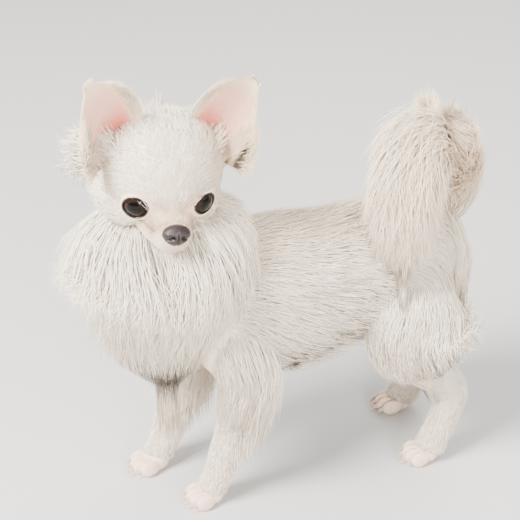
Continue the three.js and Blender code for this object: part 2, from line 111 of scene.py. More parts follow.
def bend(points):
    """The straight dog's points turned along the arc of its spine: the angle is -y over the arc's radius."""
    angle = -points[..., 1] / BEND_RADIUS
    arm = BEND_RADIUS - points[..., 0]
    return np.stack([BEND_RADIUS - arm * np.cos(angle), -arm * np.sin(angle), points[..., 2]], axis=-1)


def head_matrix():
    """Yaw times pitch times roll, as the head is turned."""
    pitch, roll, yaw = HEAD_TURN
    z = np.array([[np.cos(yaw), -np.sin(yaw), 0], [np.sin(yaw), np.cos(yaw), 0], [0, 0, 1]])
    x = np.array([[1, 0, 0], [0, np.cos(pitch), -np.sin(pitch)], [0, np.sin(pitch), np.cos(pitch)]])
    y = np.array([[np.cos(roll), 0, np.sin(roll)], [0, 1, 0], [-np.sin(roll), 0, np.cos(roll)]])
    return z @ x @ y


HEAD = head_matrix()


def in_head(points):
    """Points of the head's own frame, turned and moved to where the head is held."""
    return points @ HEAD.T + HEAD_AT


def row_shift():
    """What takes the design frame to the row's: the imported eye's middle less the designed one."""
    low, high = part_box("eye_left")
    middle = (np.array(low) + np.array(high)) / 2 / MM
    shift = middle - in_head(EYE_AT)
    shift[2] = 0.0
    return shift


SHIFT = row_shift()


def to_row(points):
    """Design millimetres to the row frame's metres."""
    return (np.asarray(points, dtype=float) + SHIFT) * MM


def unit(vectors):
    """Each vector at length 1."""
    return vectors / np.maximum(np.linalg.norm(vectors, axis=-1, keepdims=True), 1e-9)


def smooth(low, high, x):
    """0 below low, 1 above high, and a smooth step between."""
    t = np.clip((x - low) / (high - low), 0, 1)
    return t * t * (3 - 2 * t)


def sided(point, sign):
    """A point of the left side, or mirrored for the right: sign is 1 or -1."""
    return point * np.array([sign, 1, 1])


def spline(points, u):
    """A Catmull-Rom curve through the points, u from 0 to 1, and its slope."""
    points = np.asarray(points, dtype=float)
    ends = np.vstack([2 * points[0] - points[1], points, 2 * points[-1] - points[-2]])
    spans = len(points) - 1
    x = np.clip(u, 0, 1) * spans
    i = np.minimum(x.astype(int), spans - 1)
    f = (x - i)[..., None]
    a, b, c, d = (ends[i + k] for k in range(4))
    at = 0.5 * (2 * b + (c - a) * f + (2 * a - 5 * b + 4 * c - d) * f ** 2 + (3 * b - a - 3 * c + d) * f ** 3)
    slope = 0.5 * ((c - a) + 2 * (2 * a - 5 * b + 4 * c - d) * f + 3 * (3 * b - a - 3 * c + d) * f ** 2)
    return at, slope * spans


# How much of a form's round end the surface and a tuft may run into
POLE_SHARE = 0.995
TUFT_SHARE = 0.975


class Form:
    """An oval section carried along a spline of stations, with round ends. point(u, around, height) lies
    height outside it, u of the way along, and around is the part of a turn from its back or top."""

    def __init__(self, name, stations, place=bend, rounding=0.7):
        self.name = name
        self.stations = np.array(stations, dtype=float)
        self.place = place
        self.rounding = rounding
        line = spline(self.stations[:, :3], np.linspace(0, 1, 60))[0]
        self.length = np.linalg.norm(np.diff(line, axis=0), axis=1).sum()
        self.girth = TURN * self.stations[:, 3:].mean()

    def ring(self, u, around, height, swell, ahead):
        """Points of the section at u: its half sizes are raised by the height and scaled by the swell, and it
        is moved ahead along the spline."""
        at, slope = spline(self.stations, u)
        tangent = unit(slope[..., :3])
        side = np.array([1.0, 0, 0]) - tangent * tangent[..., :1]
        side = unit(side)
        back = np.cross(side, tangent)
        angle = (0.25 - around) * TURN
        wide = ((at[..., 3] + height) * swell * np.cos(angle))[..., None]
        deep = ((at[..., 4] + height) * swell * np.sin(angle))[..., None]
        return self.place(at[..., :3] + tangent * ahead[..., None] + side * wide + back * deep)

    def point(self, u, around, height):
        """Past either end the section shrinks as the square root of 1 less the share of the cap squared.
        Tufts come as rows of points, and may run no nearer to the pole than these shares allow."""
        u, around, height = np.broadcast_arrays(u, around, height)
        over = np.where(u > 1, u - 1, np.where(u < 0, u, 0.0)) * self.length
        reach = self.rounding * np.where(u > 0.5, self.stations[-1, 3:].min(), self.stations[0, 3:].min())
        share = np.abs(over) / reach
        most = POLE_SHARE if share.ndim < 2 else np.clip(share[:, :1], TUFT_SHARE, POLE_SHARE)
        share = np.minimum(share, most)
        return self.ring(u, around, height, np.sqrt(1 - share ** 2), over)

    def shell(self, rows, columns, height):
        """The closed surface: round caps of a quarter turn at both ends of the carried section."""
        cap = 5
        t = np.linspace(0, 1, rows)
        turn = np.linspace(0, np.pi / 2, cap + 1)[:-1]
        u = np.concatenate([np.zeros(cap), t, np.ones(cap)])
        swell = np.concatenate([np.sin(turn), np.ones(rows), np.sin(turn)[::-1]])
        low = self.rounding * self.stations[0, 3:].min() + height
        high = self.rounding * self.stations[-1, 3:].min() + height
        ahead = np.concatenate([-low * np.cos(turn), np.zeros(rows), high * np.cos(turn)[::-1]])
        around = np.linspace(0, 1, columns, endpoint=False)
        grid = np.meshgrid(u, around, indexing="ij")
        points = self.ring(*grid, height, swell[:, None] + 0 * grid[0], ahead[:, None] + 0 * grid[0])
        return closed_grid(points)


def closed_grid(points):
    """Vertices and quads of a grid that closes round its columns, with its first and last rows as poles."""
    rows, columns = points.shape[:2]
    body = points[1:-1].reshape(-1, 3)
    poles = np.stack([points[0].mean(axis=0), points[-1].mean(axis=0)])
    verts = np.vstack([body, poles])
    index = np.arange((rows - 2) * columns).reshape(rows - 2, columns)
    here, there = index, np.roll(index, -1, axis=1)
    quads = np.stack([here[:-1], here[1:], there[1:], there[:-1]], axis=-1).reshape(-1, 4)
    first, last = len(body), len(body) + 1
    start = np.stack([np.full(columns, first), here[0], there[0]], axis=-1)
    end = np.stack([np.full(columns, last), there[-1], here[-1]], axis=-1)
    return verts, [quads, start, end]


def oval(at, half, place, rows=14, columns=20):
    """An ellipsoid about a point: latitude rows and longitude columns."""
    tilt = np.linspace(0, np.pi, rows)[:, None]
    turn = np.linspace(0, TURN, columns, endpoint=False)[None, :]
    ball = np.stack([np.sin(tilt) * np.cos(turn), np.sin(tilt) * np.sin(turn), np.cos(tilt) + 0 * turn],
                    axis=-1)
    return closed_grid(place(ball * half + at))


def leg_stations(stations, sign, ahead):
    """A leg's stations on one side, its foot moved ahead and its hip or shoulder left in place."""
    return [(x * sign, y - ahead * (1 - z / HIP_HEIGHT), z, a, b) for x, y, z, a, b in stations]


def mirrored(stations, sign):
    """Stations of the left side, or of the right where the sign is -1."""
    return [(x * sign, y, z, a, b) for x, y, z, a, b in stations]


def skull_stations():
    """The skull cut across an axis that leans down in front, so that its fur parts at the bridge of the nose:
    each section is a share of the widest, the root of one less the square of its place along the axis."""
    wide, long = SKULL_HALF
    along = np.linspace(-0.84, 0.84, 6) * long
    share = np.sqrt(1 - (along / long) ** 2)
    y, z = SKULL_AT
    return [(0, y + s * np.cos(SKULL_LEAN), z + s * np.sin(SKULL_LEAN), wide * k, long * k)
            for s, k in zip(along, share)]


@lru_cache(maxsize=None)
def forms():
    """Every carried form of the dog by name."""
    made = [Form("trunk", TRUNK), Form("neck", NECK), Form("tail_up", TAIL_UP), Form("tail_down", TAIL_DOWN),
            Form("skull", skull_stations(), in_head, 0.29), Form("muzzle", MUZZLE, in_head, 0.55),
            Form("jaw", JAW, in_head, 0.6)]
    for sign, side in ((1, "left"), (-1, "right")):
        made += [Form("foreleg_" + side, leg_stations(FORELEG, sign, FORE_AHEAD[sign])),
                 Form("thigh_" + side, leg_stations(THIGH, sign, HIND_AHEAD[sign])),
                 Form("hindleg_" + side, leg_stations(HINDFOOT, sign, HIND_AHEAD[sign])),
                 Form("cheek_" + side, mirrored(CHEEK, sign), in_head, 0.8)]
    return {form.name: form for form in made}


# How far each form's skin lies under the form
SKIN_INSET = dict(trunk=1.5, neck=1.5, tail_up=1.0, tail_down=1.0, skull=1.0, muzzle=0.6, jaw=0.6, cheek=1.0,
                  foreleg=1.0, thigh=1.5, hindleg=1.0)


def inset(name):
    """How far a form's skin lies under it, by its name or its name less the side."""
    return SKIN_INSET[name] if name in SKIN_INSET else SKIN_INSET[name.rsplit("_", 1)[0]]


def paw_ovals(paw, sign, ahead):
    """The pad and four toes of a paw: centres and half sizes."""
    x, y = paw["at"][0] * sign, paw["at"][1] - ahead
    width, length, height = paw["width"], paw["length"], paw["height"]
    pad = ((x, y + 4, 6.6), (width / 2 - 2.3, length / 2 - 4, height / 2 - 0.3))
    toes = []
    for step in (-1.5, -0.5, 0.5, 1.5):
        along = y - length / 2 + (8.5 if abs(step) > 1 else 6.0)
        toes.append(((x + step * width / 4.1, along, 5.6), (2.9, 7.0, 5.6)))
    return pad, toes


def toe_forms():
    """Each toe and pad as a short carried form, for its fur."""
    made = []
    for paw, (pad, toes) in enumerate(paws()):
        for part, ((x, y, z), (wide, long, high)) in enumerate((pad, *toes)):
            reach = long * 0.45
            stations = [(x, y + reach, z, wide, high), (x, y, z, wide, high),
                        (x, y - reach, z, wide * 0.9, high * 0.9)]
            made.append(Form(f"toe_{paw}_{part}", stations, bend, 0.75))
    return made


def paws():
    """The pad and toes of each of the four paws."""
    for sign in (1, -1):
        yield paw_ovals(FOREPAW, sign, FORE_AHEAD[sign])
        yield paw_ovals(HINDPAW, sign, HIND_AHEAD[sign])


# Mesh making

def mesh_object(name, verts, faces):
    """An object from vertices in metres and a list of face arrays, each of one corner count."""
    mesh = bpy.data.meshes.new(name)
    sizes = np.concatenate([np.full(len(f), f.shape[1]) for f in faces])
    loops = np.concatenate([f.reshape(-1) for f in faces]).astype(np.int32)
    starts = np.concatenate([[0], np.cumsum(sizes)[:-1]]).astype(np.int32)
    mesh.vertices.add(len(verts))
    mesh.vertices.foreach_set("co", np.ascontiguousarray(verts, dtype=np.float32).reshape(-1))
    mesh.loops.add(len(loops))
    mesh.loops.foreach_set("vertex_index", loops)
    mesh.polygons.add(len(sizes))
    mesh.polygons.foreach_set("loop_start", starts)
    mesh.polygons.foreach_set("use_smooth", np.ones(len(sizes), dtype=bool))
    mesh.update(calc_edges=True)
    mesh.validate()
    piece = bpy.data.objects.new(name, mesh)
    bpy.context.scene.collection.objects.link(piece)
    return piece


def joined(parts):
    """Several vertex and face lists as one."""
    verts, faces, start = [], {}, 0
    for points, lists in parts:
        for face in lists:
            faces.setdefault(face.shape[1], []).append(face + start)
        verts.append(points)
        start += len(points)
    return np.vstack(verts), [np.vstack(f) for f in faces.values()]


def vertex_points(mesh):
    """The places of a mesh's vertices."""
    points = np.empty(len(mesh.vertices) * 3, dtype=np.float32)
    mesh.vertices.foreach_get("co", points)
    return points.reshape(-1, 3).astype(float)


def vertex_normals(mesh):
    """The normals of a mesh's vertices."""
    normals = np.empty(len(mesh.vertices) * 3, dtype=np.float32)
    mesh.vertices.foreach_get("normal", normals)
    return normals.reshape(-1, 3).astype(float)


def set_colour(mesh, name, colours):
    """A colour on each vertex, from an array of red, green and blue."""
    attribute = mesh.color_attributes.new(name, "FLOAT_COLOR", "POINT")
    rgba = np.ones((len(colours), 4), dtype=np.float32)
    rgba[:, :3] = colours
    attribute.data.foreach_set("color", rgba.reshape(-1))


def set_number(mesh, name, values):
    """A number on each vertex."""
    attribute = mesh.attributes.new(name, "FLOAT", "POINT")
    attribute.data.foreach_set("value", np.ascontiguousarray(values, dtype=np.float32))


def settle(piece, slot, *nodes):
    """The piece rides on the one body and stands for the nodes. The slot is not used."""
    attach(piece, "root")
    if nodes:
        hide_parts(*nodes)


def remeshed(name, parts, voxel, rounds):
    """The closed surfaces joined into one skin by a voxel remesh and smoothed."""
    verts, faces = joined(parts)
    piece = mesh_object(name, to_row(verts), faces)
    remesh = piece.modifiers.new("Join", "REMESH")
    remesh.mode = "VOXEL"
    remesh.voxel_size = voxel * MM
    soften = piece.modifiers.new("Soften", "SMOOTH")
    soften.factor = 0.5
    soften.iterations = rounds
    graph = bpy.context.evaluated_depsgraph_get()
    mesh = bpy.data.meshes.new_from_object(piece.evaluated_get(graph))
    bpy.data.objects.remove(piece)
    verts = vertex_points(mesh)
    quads = np.empty(len(mesh.loops), dtype=np.int32)
    mesh.loops.foreach_get("vertex_index", quads)
    bpy.data.meshes.remove(mesh)
    return verts, quads.reshape(-1, 4)


# Markings, the same for skin and coat: a function of the place in the design frame

def markings(points, settings):
    """White, warmed to cream along the back, nape and tail, and to apricot over the top of the tail."""
    x, y, z = points[..., 0], points[..., 1], points[..., 2]
    white, cream, apricot = (np.array(c)[:3] for c in (settings.white, settings.cream, settings.apricot))
    tail = smooth(60, 105, y) * smooth(150, 200, z)
    back = smooth(150, 185, z) * smooth(-60, -20, y) * 0.45
    nape = smooth(-75, -45, y) * smooth(185, 215, z) * 0.5
    wave = 0.5 + 0.5 * np.sin(x * 0.11 + np.sin(y * 0.07) * 2) * np.sin(z * 0.09 + y * 0.05)
    warm = np.clip(np.maximum(np.maximum(tail * 0.55, back), nape) * (0.6 + 0.4 * wave) + 0.10 * wave, 0, 1)
    deep = smooth(70, 110, y) * smooth(165, 215, z) * 0.30 * wave
    colour = white + (cream - white) * warm[..., None]
    return colour + (apricot - colour) * deep[..., None]


def face_markings(local, settings):
    """Peach round the eyes and muzzle, and a stain under the inner corners, in the head's own frame."""
    apricot = np.array(settings.apricot)[:3]
    stain = np.array(settings.stain)[:3]
    side = np.stack([np.abs(local[..., 0]), local[..., 1], local[..., 2]], axis=-1)
    eye = np.linalg.norm((side - np.array([15, -27, -7])) / np.array([12, 14, 11]), axis=-1)
    peach = (1 - smooth(0.8, 1.5, eye)) * 0.5
    muzzle = np.linalg.norm((side - np.array([0, -40, -11])) / np.array([11, 10, 9]), axis=-1)
    peach = np.maximum(peach, (1 - smooth(0.6, 1.5, muzzle)) * 0.5)
    tear = np.linalg.norm((side - np.array([11.5, -31, -15])) / np.array([4.5, 7, 6.5]), axis=-1)
    wet = (1 - smooth(0.3, 1.1, tear)) * 0.55
    return peach[..., None], apricot, wet[..., None], stain


def coat_colour(points, settings):
    """Body markings, with the face's laid over them near the head."""
    colour = markings(points, settings)
    local = (points - HEAD_AT) @ HEAD
    peach, apricot, wet, stain = face_markings(local, settings)
    colour = colour + (apricot - colour) * peach
    return colour + (stain - colour) * wet


# Settings that a user would change

def colour_property(name, description, default):
    """A colour that a user may change."""
    return bpy.props.FloatVectorProperty(name=name, description=description, default=default, size=3,
                                         min=0.0, max=1.0, subtype="COLOR")


def length_property(name, description, default):
    """A length that a user may change, its default given in millimetres."""
    return bpy.props.FloatProperty(name=name, description=description, default=default * MM, min=0.0,
                                   unit="LENGTH", subtype="DISTANCE")


class ChihuahuaColours(bpy.types.PropertyGroup):
    white: colour_property("White", "Main colour of the coat", (0.97, 0.86, 0.715))
    cream: colour_property("Cream", "Warm hair along the back and nape", (0.92, 0.71, 0.48))
    apricot: colour_property("Apricot", "Warmest hair, on the tail, ears and round the eyes",
                             (0.86, 0.56, 0.37))
    stain: colour_property("Tear stain", "Hair under the inner corners of the eyes", (0.20, 0.10, 0.06))
    skin: colour_property("Skin", "Pink skin of the feet, belly and muzzle", (0.86, 0.50, 0.40))
    ear: colour_property("Ear lining", "Bare skin inside the ears", (0.76, 0.34, 0.26))
    nose: colour_property("Nose", "Leather of the nose", (0.009, 0.006, 0.007))
    iris: colour_property("Iris", "Very dark brown of the eyes", (0.017, 0.008, 0.005))
    claw: colour_property("Claws", "Pale horn", (0.62, 0.45, 0.36))


class ChihuahuaCoat(bpy.types.PropertyGroup):
    width: length_property("Hair width", "Width of one tuft of long hair at its widest", 0.68)
    fine: length_property("Fine hair width", "Width of one tuft on the face and feet", 0.42)
    body: length_property("Body hair", "Length of the hair on the trunk", 29.0)
    ruff: length_property("Ruff hair", "Length of the hair of the ruff and chest", 44.0)
    tail: length_property("Tail hair", "Length of the plume's hair", 44.0)
    density: bpy.props.FloatProperty(name="Density", description="Share of the full count of tufts",
                                     default=0.87, min=0.05, max=1.0, subtype="FACTOR")
    seed: bpy.props.IntProperty(name="Seed", description="Start of the random draws", default=11, min=0)


def colours():
    """The colours set in the scene."""
    return bpy.context.scene.chihuahua_colours


def coat_sizes():
    """The sizes of the coat set in the scene."""
    return bpy.context.scene.chihuahua_coat


# Materials

def new_material(name):
    """A new material with its nodes, links and shader."""
    material = bpy.data.materials.new(name)
    material.use_nodes = True
    nodes = material.node_tree.nodes
    return material, nodes, material.node_tree.links, nodes["Principled BSDF"]


def mottle_group():
    """A node group that varies a colour a little over the surface, with a fine grain for bump."""
    if "Mottle" in bpy.data.node_groups:
        return bpy.data.node_groups["Mottle"]
    group = bpy.data.node_groups.new("Mottle", "ShaderNodeTree")
    face = group.interface
    face.new_socket(name="Color", in_out="INPUT", socket_type="NodeSocketColor")
    face.new_socket(name="Scale", in_out="INPUT", socket_type="NodeSocketFloat")
    face.new_socket(name="Amount", in_out="INPUT", socket_type="NodeSocketFloat")
    face.new_socket(name="Color", in_out="OUTPUT", socket_type="NodeSocketColor")
    face.new_socket(name="Grain", in_out="OUTPUT", socket_type="NodeSocketFloat")
    nodes, links = group.nodes, group.links
    source = nodes.new("NodeGroupInput")
    sink = nodes.new("NodeGroupOutput")
    place = nodes.new("ShaderNodeTexCoord")
    noise = nodes.new("ShaderNodeTexNoise")
    noise.inputs["Detail"].default_value = 4.0
    links.new(place.outputs["Object"], noise.inputs["Vector"])
    links.new(source.outputs["Scale"], noise.inputs["Scale"])
    spread = nodes.new("ShaderNodeMapRange")
    spread.inputs["To Min"].default_value = 0.55
    spread.inputs["To Max"].default_value = 1.35
    links.new(noise.outputs["Fac"], spread.inputs["Value"])
    tone = nodes.new("ShaderNodeMix")
    tone.data_type = "RGBA"
    tone.blend_type = "MULTIPLY"
    links.new(source.outputs["Amount"], tone.inputs["Factor"])
    links.new(source.outputs["Color"], tone.inputs["A"])
    links.new(spread.outputs["Result"], tone.inputs["B"])
    links.new(tone.outputs["Result"], sink.inputs["Color"])
    links.new(noise.outputs["Fac"], sink.inputs["Grain"])
    return group


def attribute_material(name, attribute, scale, amount, roughness, bump=0.0, scatter=0.0, sheen=0.0,
                       specular=0.35):
    """A material whose colour is a vertex attribute, mottled, with a fine bump."""
    material, nodes, links, shader = new_material(name)
    colour = nodes.new("ShaderNodeAttribute")
    colour.attribute_name = attribute
    mottle = nodes.new("ShaderNodeGroup")
    mottle.node_tree = mottle_group()
    mottle.inputs["Scale"].default_value = scale
    mottle.inputs["Amount"].default_value = amount
    links.new(colour.outputs["Color"], mottle.inputs["Color"])
    links.new(mottle.outputs["Color"], shader.inputs["Base Color"])
    shader.inputs["Roughness"].default_value = roughness
    shader.inputs["Specular IOR Level"].default_value = specular
    shader.inputs["Subsurface Weight"].default_value = scatter
    shader.inputs["Subsurface Scale"].default_value = 3 * MM
    shader.inputs["Sheen Weight"].default_value = sheen
    if bump:
        relief = nodes.new("ShaderNodeBump")
        relief.inputs["Strength"].default_value = bump
        relief.inputs["Distance"].default_value = 0.6 * MM
        links.new(mottle.outputs["Grain"], relief.inputs["Height"])
        links.new(relief.outputs["Normal"], shader.inputs["Normal"])
    return material


# Skin

def mouth_line(steps=80):
    """The closed lips, in the head's frame: a curve round the muzzle's surface, low at the sides."""
    t = np.linspace(0, 1, steps)
    side = np.abs(t * 2 - 1)
    u = 0.985 - 0.825 * side ** 1.3
    around = np.where(t < 0.5, 1, -1) * (0.5 - 0.2 * np.minimum(1, side * 2.2) - 0.085 * side * 0.3)
    return forms()["muzzle"].point(u, around, np.full(steps, -0.6))


def groove(points, normals, line, depth, width):
    """Points pressed in along their normals by a bell curve of the distance to the line, and the bell."""
    near = np.full(len(points), 1e9)
    for place in line:
        near = np.minimum(near, np.linalg.norm(points - place, axis=1))
    bell = np.exp(-(near / width) ** 2)
    return points - normals * (bell * depth)[:, None], bell


def eye_plane(local, sign):
    """How far points of the head's frame lie from one eye's middle ahead, and how near they are to its
    opening: 1 on the lids' edge, less inside it."""
    facing, across, up = eye_axes(sign)
    away = local - sided(EYE_AT, sign)
    ahead = away @ facing
    round_edge = np.sqrt((away @ across / LID_HALF[0]) ** 2 + (away @ up / LID_HALF[1]) ** 2)
    return ahead, round_edge


def sockets(points):
    """The skin inside the lids' edge pressed back behind the eyeball."""
    local = (points - HEAD_AT) @ HEAD
    for sign in (1, -1):
        facing = eye_axes(sign)[0]
        ahead, edge = eye_plane(local, sign)
        away = local - sided(EYE_AT, sign)
        flat = np.sqrt(np.maximum(EYE_RADIUS ** 2 - (away ** 2).sum(axis=1) + ahead ** 2, 9.0))
        limit = flat - 2.5 + 3.6 * smooth(0.8, 1.12, edge)
        inside = (edge < 1.2) & (ahead > 0)
        press = np.where(inside, np.minimum(limit - ahead, 0), 0)
        local = local + facing * press[:, None]
    return in_head(local)


def head_parts():
    """The surfaces that the head's skin is joined from, with a soft rim for the lids of each eye."""
    names = ["skull", "muzzle", "jaw", "cheek_left", "cheek_right"]
    parts = [forms()[name].shell(24, 40, -inset(name)) for name in names]
    for sign in (1, -1):
        parts.append(lid_ring(sign, 1.9, 1.7, 0.0))
    return parts


def body_parts():
    """The surfaces that the body's skin is joined from."""
    heads = ("skull", "muzzle", "jaw", "cheek_left", "cheek_right")
    parts = [form.shell(28, 32, -inset(name)) for name, form in forms().items() if name not in heads]
    for sign in (1, -1):
        parts.append(oval(sided(HAUNCH["at"], sign), HAUNCH["half"], bend, 24, 32))
        parts.append(oval(sided(SHOULDER["at"], sign), SHOULDER["half"], bend, 24, 32))
    return parts


def paw_parts():
    """The pads and toes of the four paws."""
    ovals = [each for pad, toes in paws() for each in (pad, *toes)]
    return [oval(np.array(at), np.array(half), bend, 24, 32) for at, half in ovals]


def eye_axes(sign):
    """The way one eye looks, and the eye's left and up."""
    facing = np.array([np.sin(EYE_OUTWARD) * sign, -np.cos(EYE_OUTWARD), 0.0])
    level, rise = np.cross(facing, [0, 0, 1.0]), np.array([0, 0, 1.0])
    across = level * np.cos(EYE_TILT) + rise * np.sin(EYE_TILT) * sign
    return facing, across, np.cross(across, facing)


def lid_edge(sign, turn, lift):
    """The almond edge of the lids on the eyeball, lift outside it: wider than high, drawn to its corners."""
    facing, across, up = eye_axes(sign)
    wide = LID_HALF[0] * np.cos(turn)
    high = LID_HALF[1] * np.sin(turn) * (1 - 0.07 * np.cos(turn) ** 2)
    deep = np.sqrt(np.maximum(EYE_RADIUS ** 2 - wide ** 2 - high ** 2, 4.0))
    local = across * wide[..., None] + up * high[..., None] + facing * deep[..., None]
    local = local * (1 + lift / EYE_RADIUS)
    return sided(EYE_AT, sign) + local


def lid_ring(sign, thick, deep, lift, turns=48, sides=10):
    """A soft rim carried round the lids' edge: an oval section, thick across and deep outwards."""
    turn = np.linspace(0, TURN, turns, endpoint=False)
    edge = lid_edge(sign, turn, lift)
    centre = sided(EYE_AT, sign)
    out = unit(edge - centre)
    along = unit(np.roll(edge, -1, axis=0) - np.roll(edge, 1, axis=0))
    away = unit(np.cross(out, along))
    facing = eye_axes(sign)[0]
    flip = np.sign(np.sum(away * (edge - centre - facing * 6), axis=-1, keepdims=True))
    away = away * flip
    angle = np.linspace(0, TURN, sides, endpoint=False)
    section = (away[:, None] * (thick * (np.cos(angle) + 0.6))[None, :, None]
               + out[:, None] * (deep * np.sin(angle))[None, :, None])
    points = in_head(edge[:, None] + section)
    index = np.arange(turns * sides).reshape(turns, sides)
    quads = np.stack([index, np.roll(index, -1, 0), np.roll(np.roll(index, -1, 0), -1, 1),
                      np.roll(index, -1, 1)], axis=-1).reshape(-1, 4)
    return points.reshape(-1, 3), [quads]


def skin_colour(points, settings):
    """Pink skin that shows on the feet, belly and muzzle, with the coat's markings elsewhere."""
    colour = coat_colour(points, settings)
    pink = np.array(settings.skin)[:3]
    z = points[:, 2]
    local = (points - HEAD_AT) @ HEAD
    feet = (1 - smooth(8, 60, z)) * 0.55
    belly = (1 - smooth(85, 100, z)) * smooth(60, 80, z) * 0.5
    face = np.linalg.norm((local - np.array([0, -36, -20])) / np.array([18, 18, 14]), axis=1)
    muzzle = (1 - smooth(0.5, 1.3, face)) * 0.55
    amount = np.maximum(np.maximum(feet, belly), muzzle)[:, None]
    return colour + (pink - colour) * amount


# Colour of the closed lips
LIPS = np.array([0.10, 0.045, 0.04])

# The solids that the skin stands for
FLESH = ("head", "neck", "torso", "tail_root", "tail_plume", "thigh_left", "thigh_right", "foreleg_left",
         "foreleg_right", "hindleg_left", "hindleg_right")


class ChihuahuaSkin(bpy.types.Operator):
    """One skin for head, trunk, legs and tail: each form's surface joined by a voxel remesh and smoothed."""
    bl_idname = "chihuahua.skin"
    bl_label = "Skin"

    def execute(self, context):
        head, head_quads = remeshed("head_skin", head_parts(), 1.1, 3)
        body, body_quads = remeshed("body_skin", body_parts(), 1.7, 4)
        feet, feet_quads = remeshed("paw_skin", paw_parts(), 0.8, 2)
        verts, quads = joined([(head, [head_quads]), (body, [body_quads]), (feet, [feet_quads])])
        piece = mesh_object("skin", verts, quads)
        points = verts / MM - SHIFT
        pressed, bell = groove(points, vertex_normals(piece.data), mouth_line(), 1.3, 1.0)
        pressed = sockets(pressed)
        pressed[:, 2] = np.maximum(pressed[:, 2], 0.15)
        piece.data.vertices.foreach_set("co", to_row(pressed).astype(np.float32).reshape(-1))
        settings = colours()
        tint = skin_colour(points, settings)
        tint = tint + (LIPS - tint) * (bell * 0.9)[:, None]
        set_colour(piece.data, "tint", tint)
        piece.data.materials.append(
            attribute_material("Skin", "tint", 260.0, 0.25, 0.62, bump=0.25, scatter=0.25))
        settle(piece, "body_coat", *FLESH)
        return {"FINISHED"}


# Ears

def ear_point(sign, u, r, depth):
    """A leaf narrowing to a round tip: r runs across it from the inner to the outer edge and it cups by
    one less r squared, u runs from its sunk root to its tip, and depth lies behind its middle."""
    root = (EAR_INNER + EAR_OUTER) / 2
    across = (EAR_OUTER - EAR_INNER) / 2
    rise = EAR_TIP - root
    back = unit(np.cross(across, rise))
    back = back if back[1] > 0 else -back
    s = u * (1 + EAR_SUNK) - EAR_SUNK
    up = np.maximum(s, 0)
    leaf = np.maximum(0, 1 - up ** 2.1) ** 0.62 * (1 + 0.16 * np.sin(np.pi * up))
    wide = np.where(s < 0, 1 + s * 0.5, leaf)
    cup = EAR_CUP * (1 - r * r) * (1 - 0.55 * up) * wide
    fold = 1.6 * smooth(0.45, 0.95, r) * smooth(0.1, 0.4, up) * (1 - up)
    local = (root + rise * s[..., None] + across * (r * wide)[..., None]
             + back * (cup + depth + fold)[..., None])
    return in_head(sided(local, sign))


class EarForm:
    """One ear with the same calls as a carried form: around 0 is the middle of its back, half a turn its
    hollow, and a quarter turn its edges."""

    def __init__(self, sign):
        self.sign = sign
        self.length = 75.0
        self.girth = TURN * 14

    def point(self, u, around, height):
        """Points height off the leaf: past its tip they run on the way that it rises."""
        u, around, height = np.broadcast_arrays(u, around, height)
        past = np.maximum(u - 0.97, 0) * self.length * 0.6
        r = np.sin(around * TURN) * (1 + height / 28)
        depth = np.cos(around * TURN) * (1.0 + height)
        points = ear_point(self.sign, np.clip(u, 0, 0.97), r, depth)
        rise = sided(EAR_TIP - (EAR_INNER + EAR_OUTER) / 2, self.sign)
        return points + past[..., None] * unit(rise) @ HEAD.T


def ear_shell(sign, thick=1.5, rows=60, columns=64):
    """The leaf's two faces carried round one outline, with each vertex's place along and across it."""
    u = np.linspace(0, 1, rows)[:, None]
    turn = np.linspace(0, TURN, columns, endpoint=False)[None, :]
    closing = np.minimum(1, np.sin(np.pi * u) * 4)
    inside = ((u > 0) & (u < 1)).astype(float)
    r = np.cos(turn) * inside
    depth = thick * (1 - 0.5 * u) * closing * inside * np.sin(turn)
    verts, faces = closed_grid(ear_point(sign, u + 0 * turn, r, depth))
    along = np.concatenate([np.repeat(u[1:-1, 0], columns), [0.0, 1.0]])
    across = np.concatenate([r[1:-1].reshape(-1), [0.0, 0.0]])
    return verts, faces, along, across


def ear_colours(u, r, settings):
    """Red at the canal, salmon in the hollow and cream towards the edges and tip."""
    lining, cream, white = (np.array(c)[:3] for c in (settings.ear, settings.cream, settings.white))
    edge = smooth(0.62, 0.95, np.abs(r))
    tip = smooth(0.7, 0.98, u)
    canal = (1 - smooth(0.3, 0.62, u)) * (1 - smooth(0.25, 0.8, np.abs(r + 0.15)))
    colour = lining + (white - lining) * 0.25
    colour = colour + (lining * np.array([0.95, 0.45, 0.40]) - colour) * (canal * 0.85)[:, None]
    return colour + (cream - colour) * (np.maximum(edge, tip) * 0.85)[:, None]


class ChihuahuaEars(bpy.types.Operator):
    """Each ear is a thin cupped leaf, its two faces carried round one outline."""
    bl_idname = "chihuahua.ears"
    bl_label = "Ears"

    def execute(self, context):
        for sign, side in ((1, "left"), (-1, "right")):
            points, faces, along, across = ear_shell(sign)
            piece = mesh_object("ear_leaf_" + side, to_row(points), faces if sign > 0 else flipped(faces))
            set_colour(piece.data, "tint", ear_colours(along, across, colours()))
            piece.data.materials.append(
                attribute_material("Ear lining " + side, "tint", 420.0, 0.3, 0.5, bump=0.2, scatter=0.35))
            settle(piece, "ears", "ear_" + side)
        return {"FINISHED"}


def flipped(faces):
    """Faces turned the other way out."""
    return [face[:, ::-1] for face in faces]


# Eyes and lids

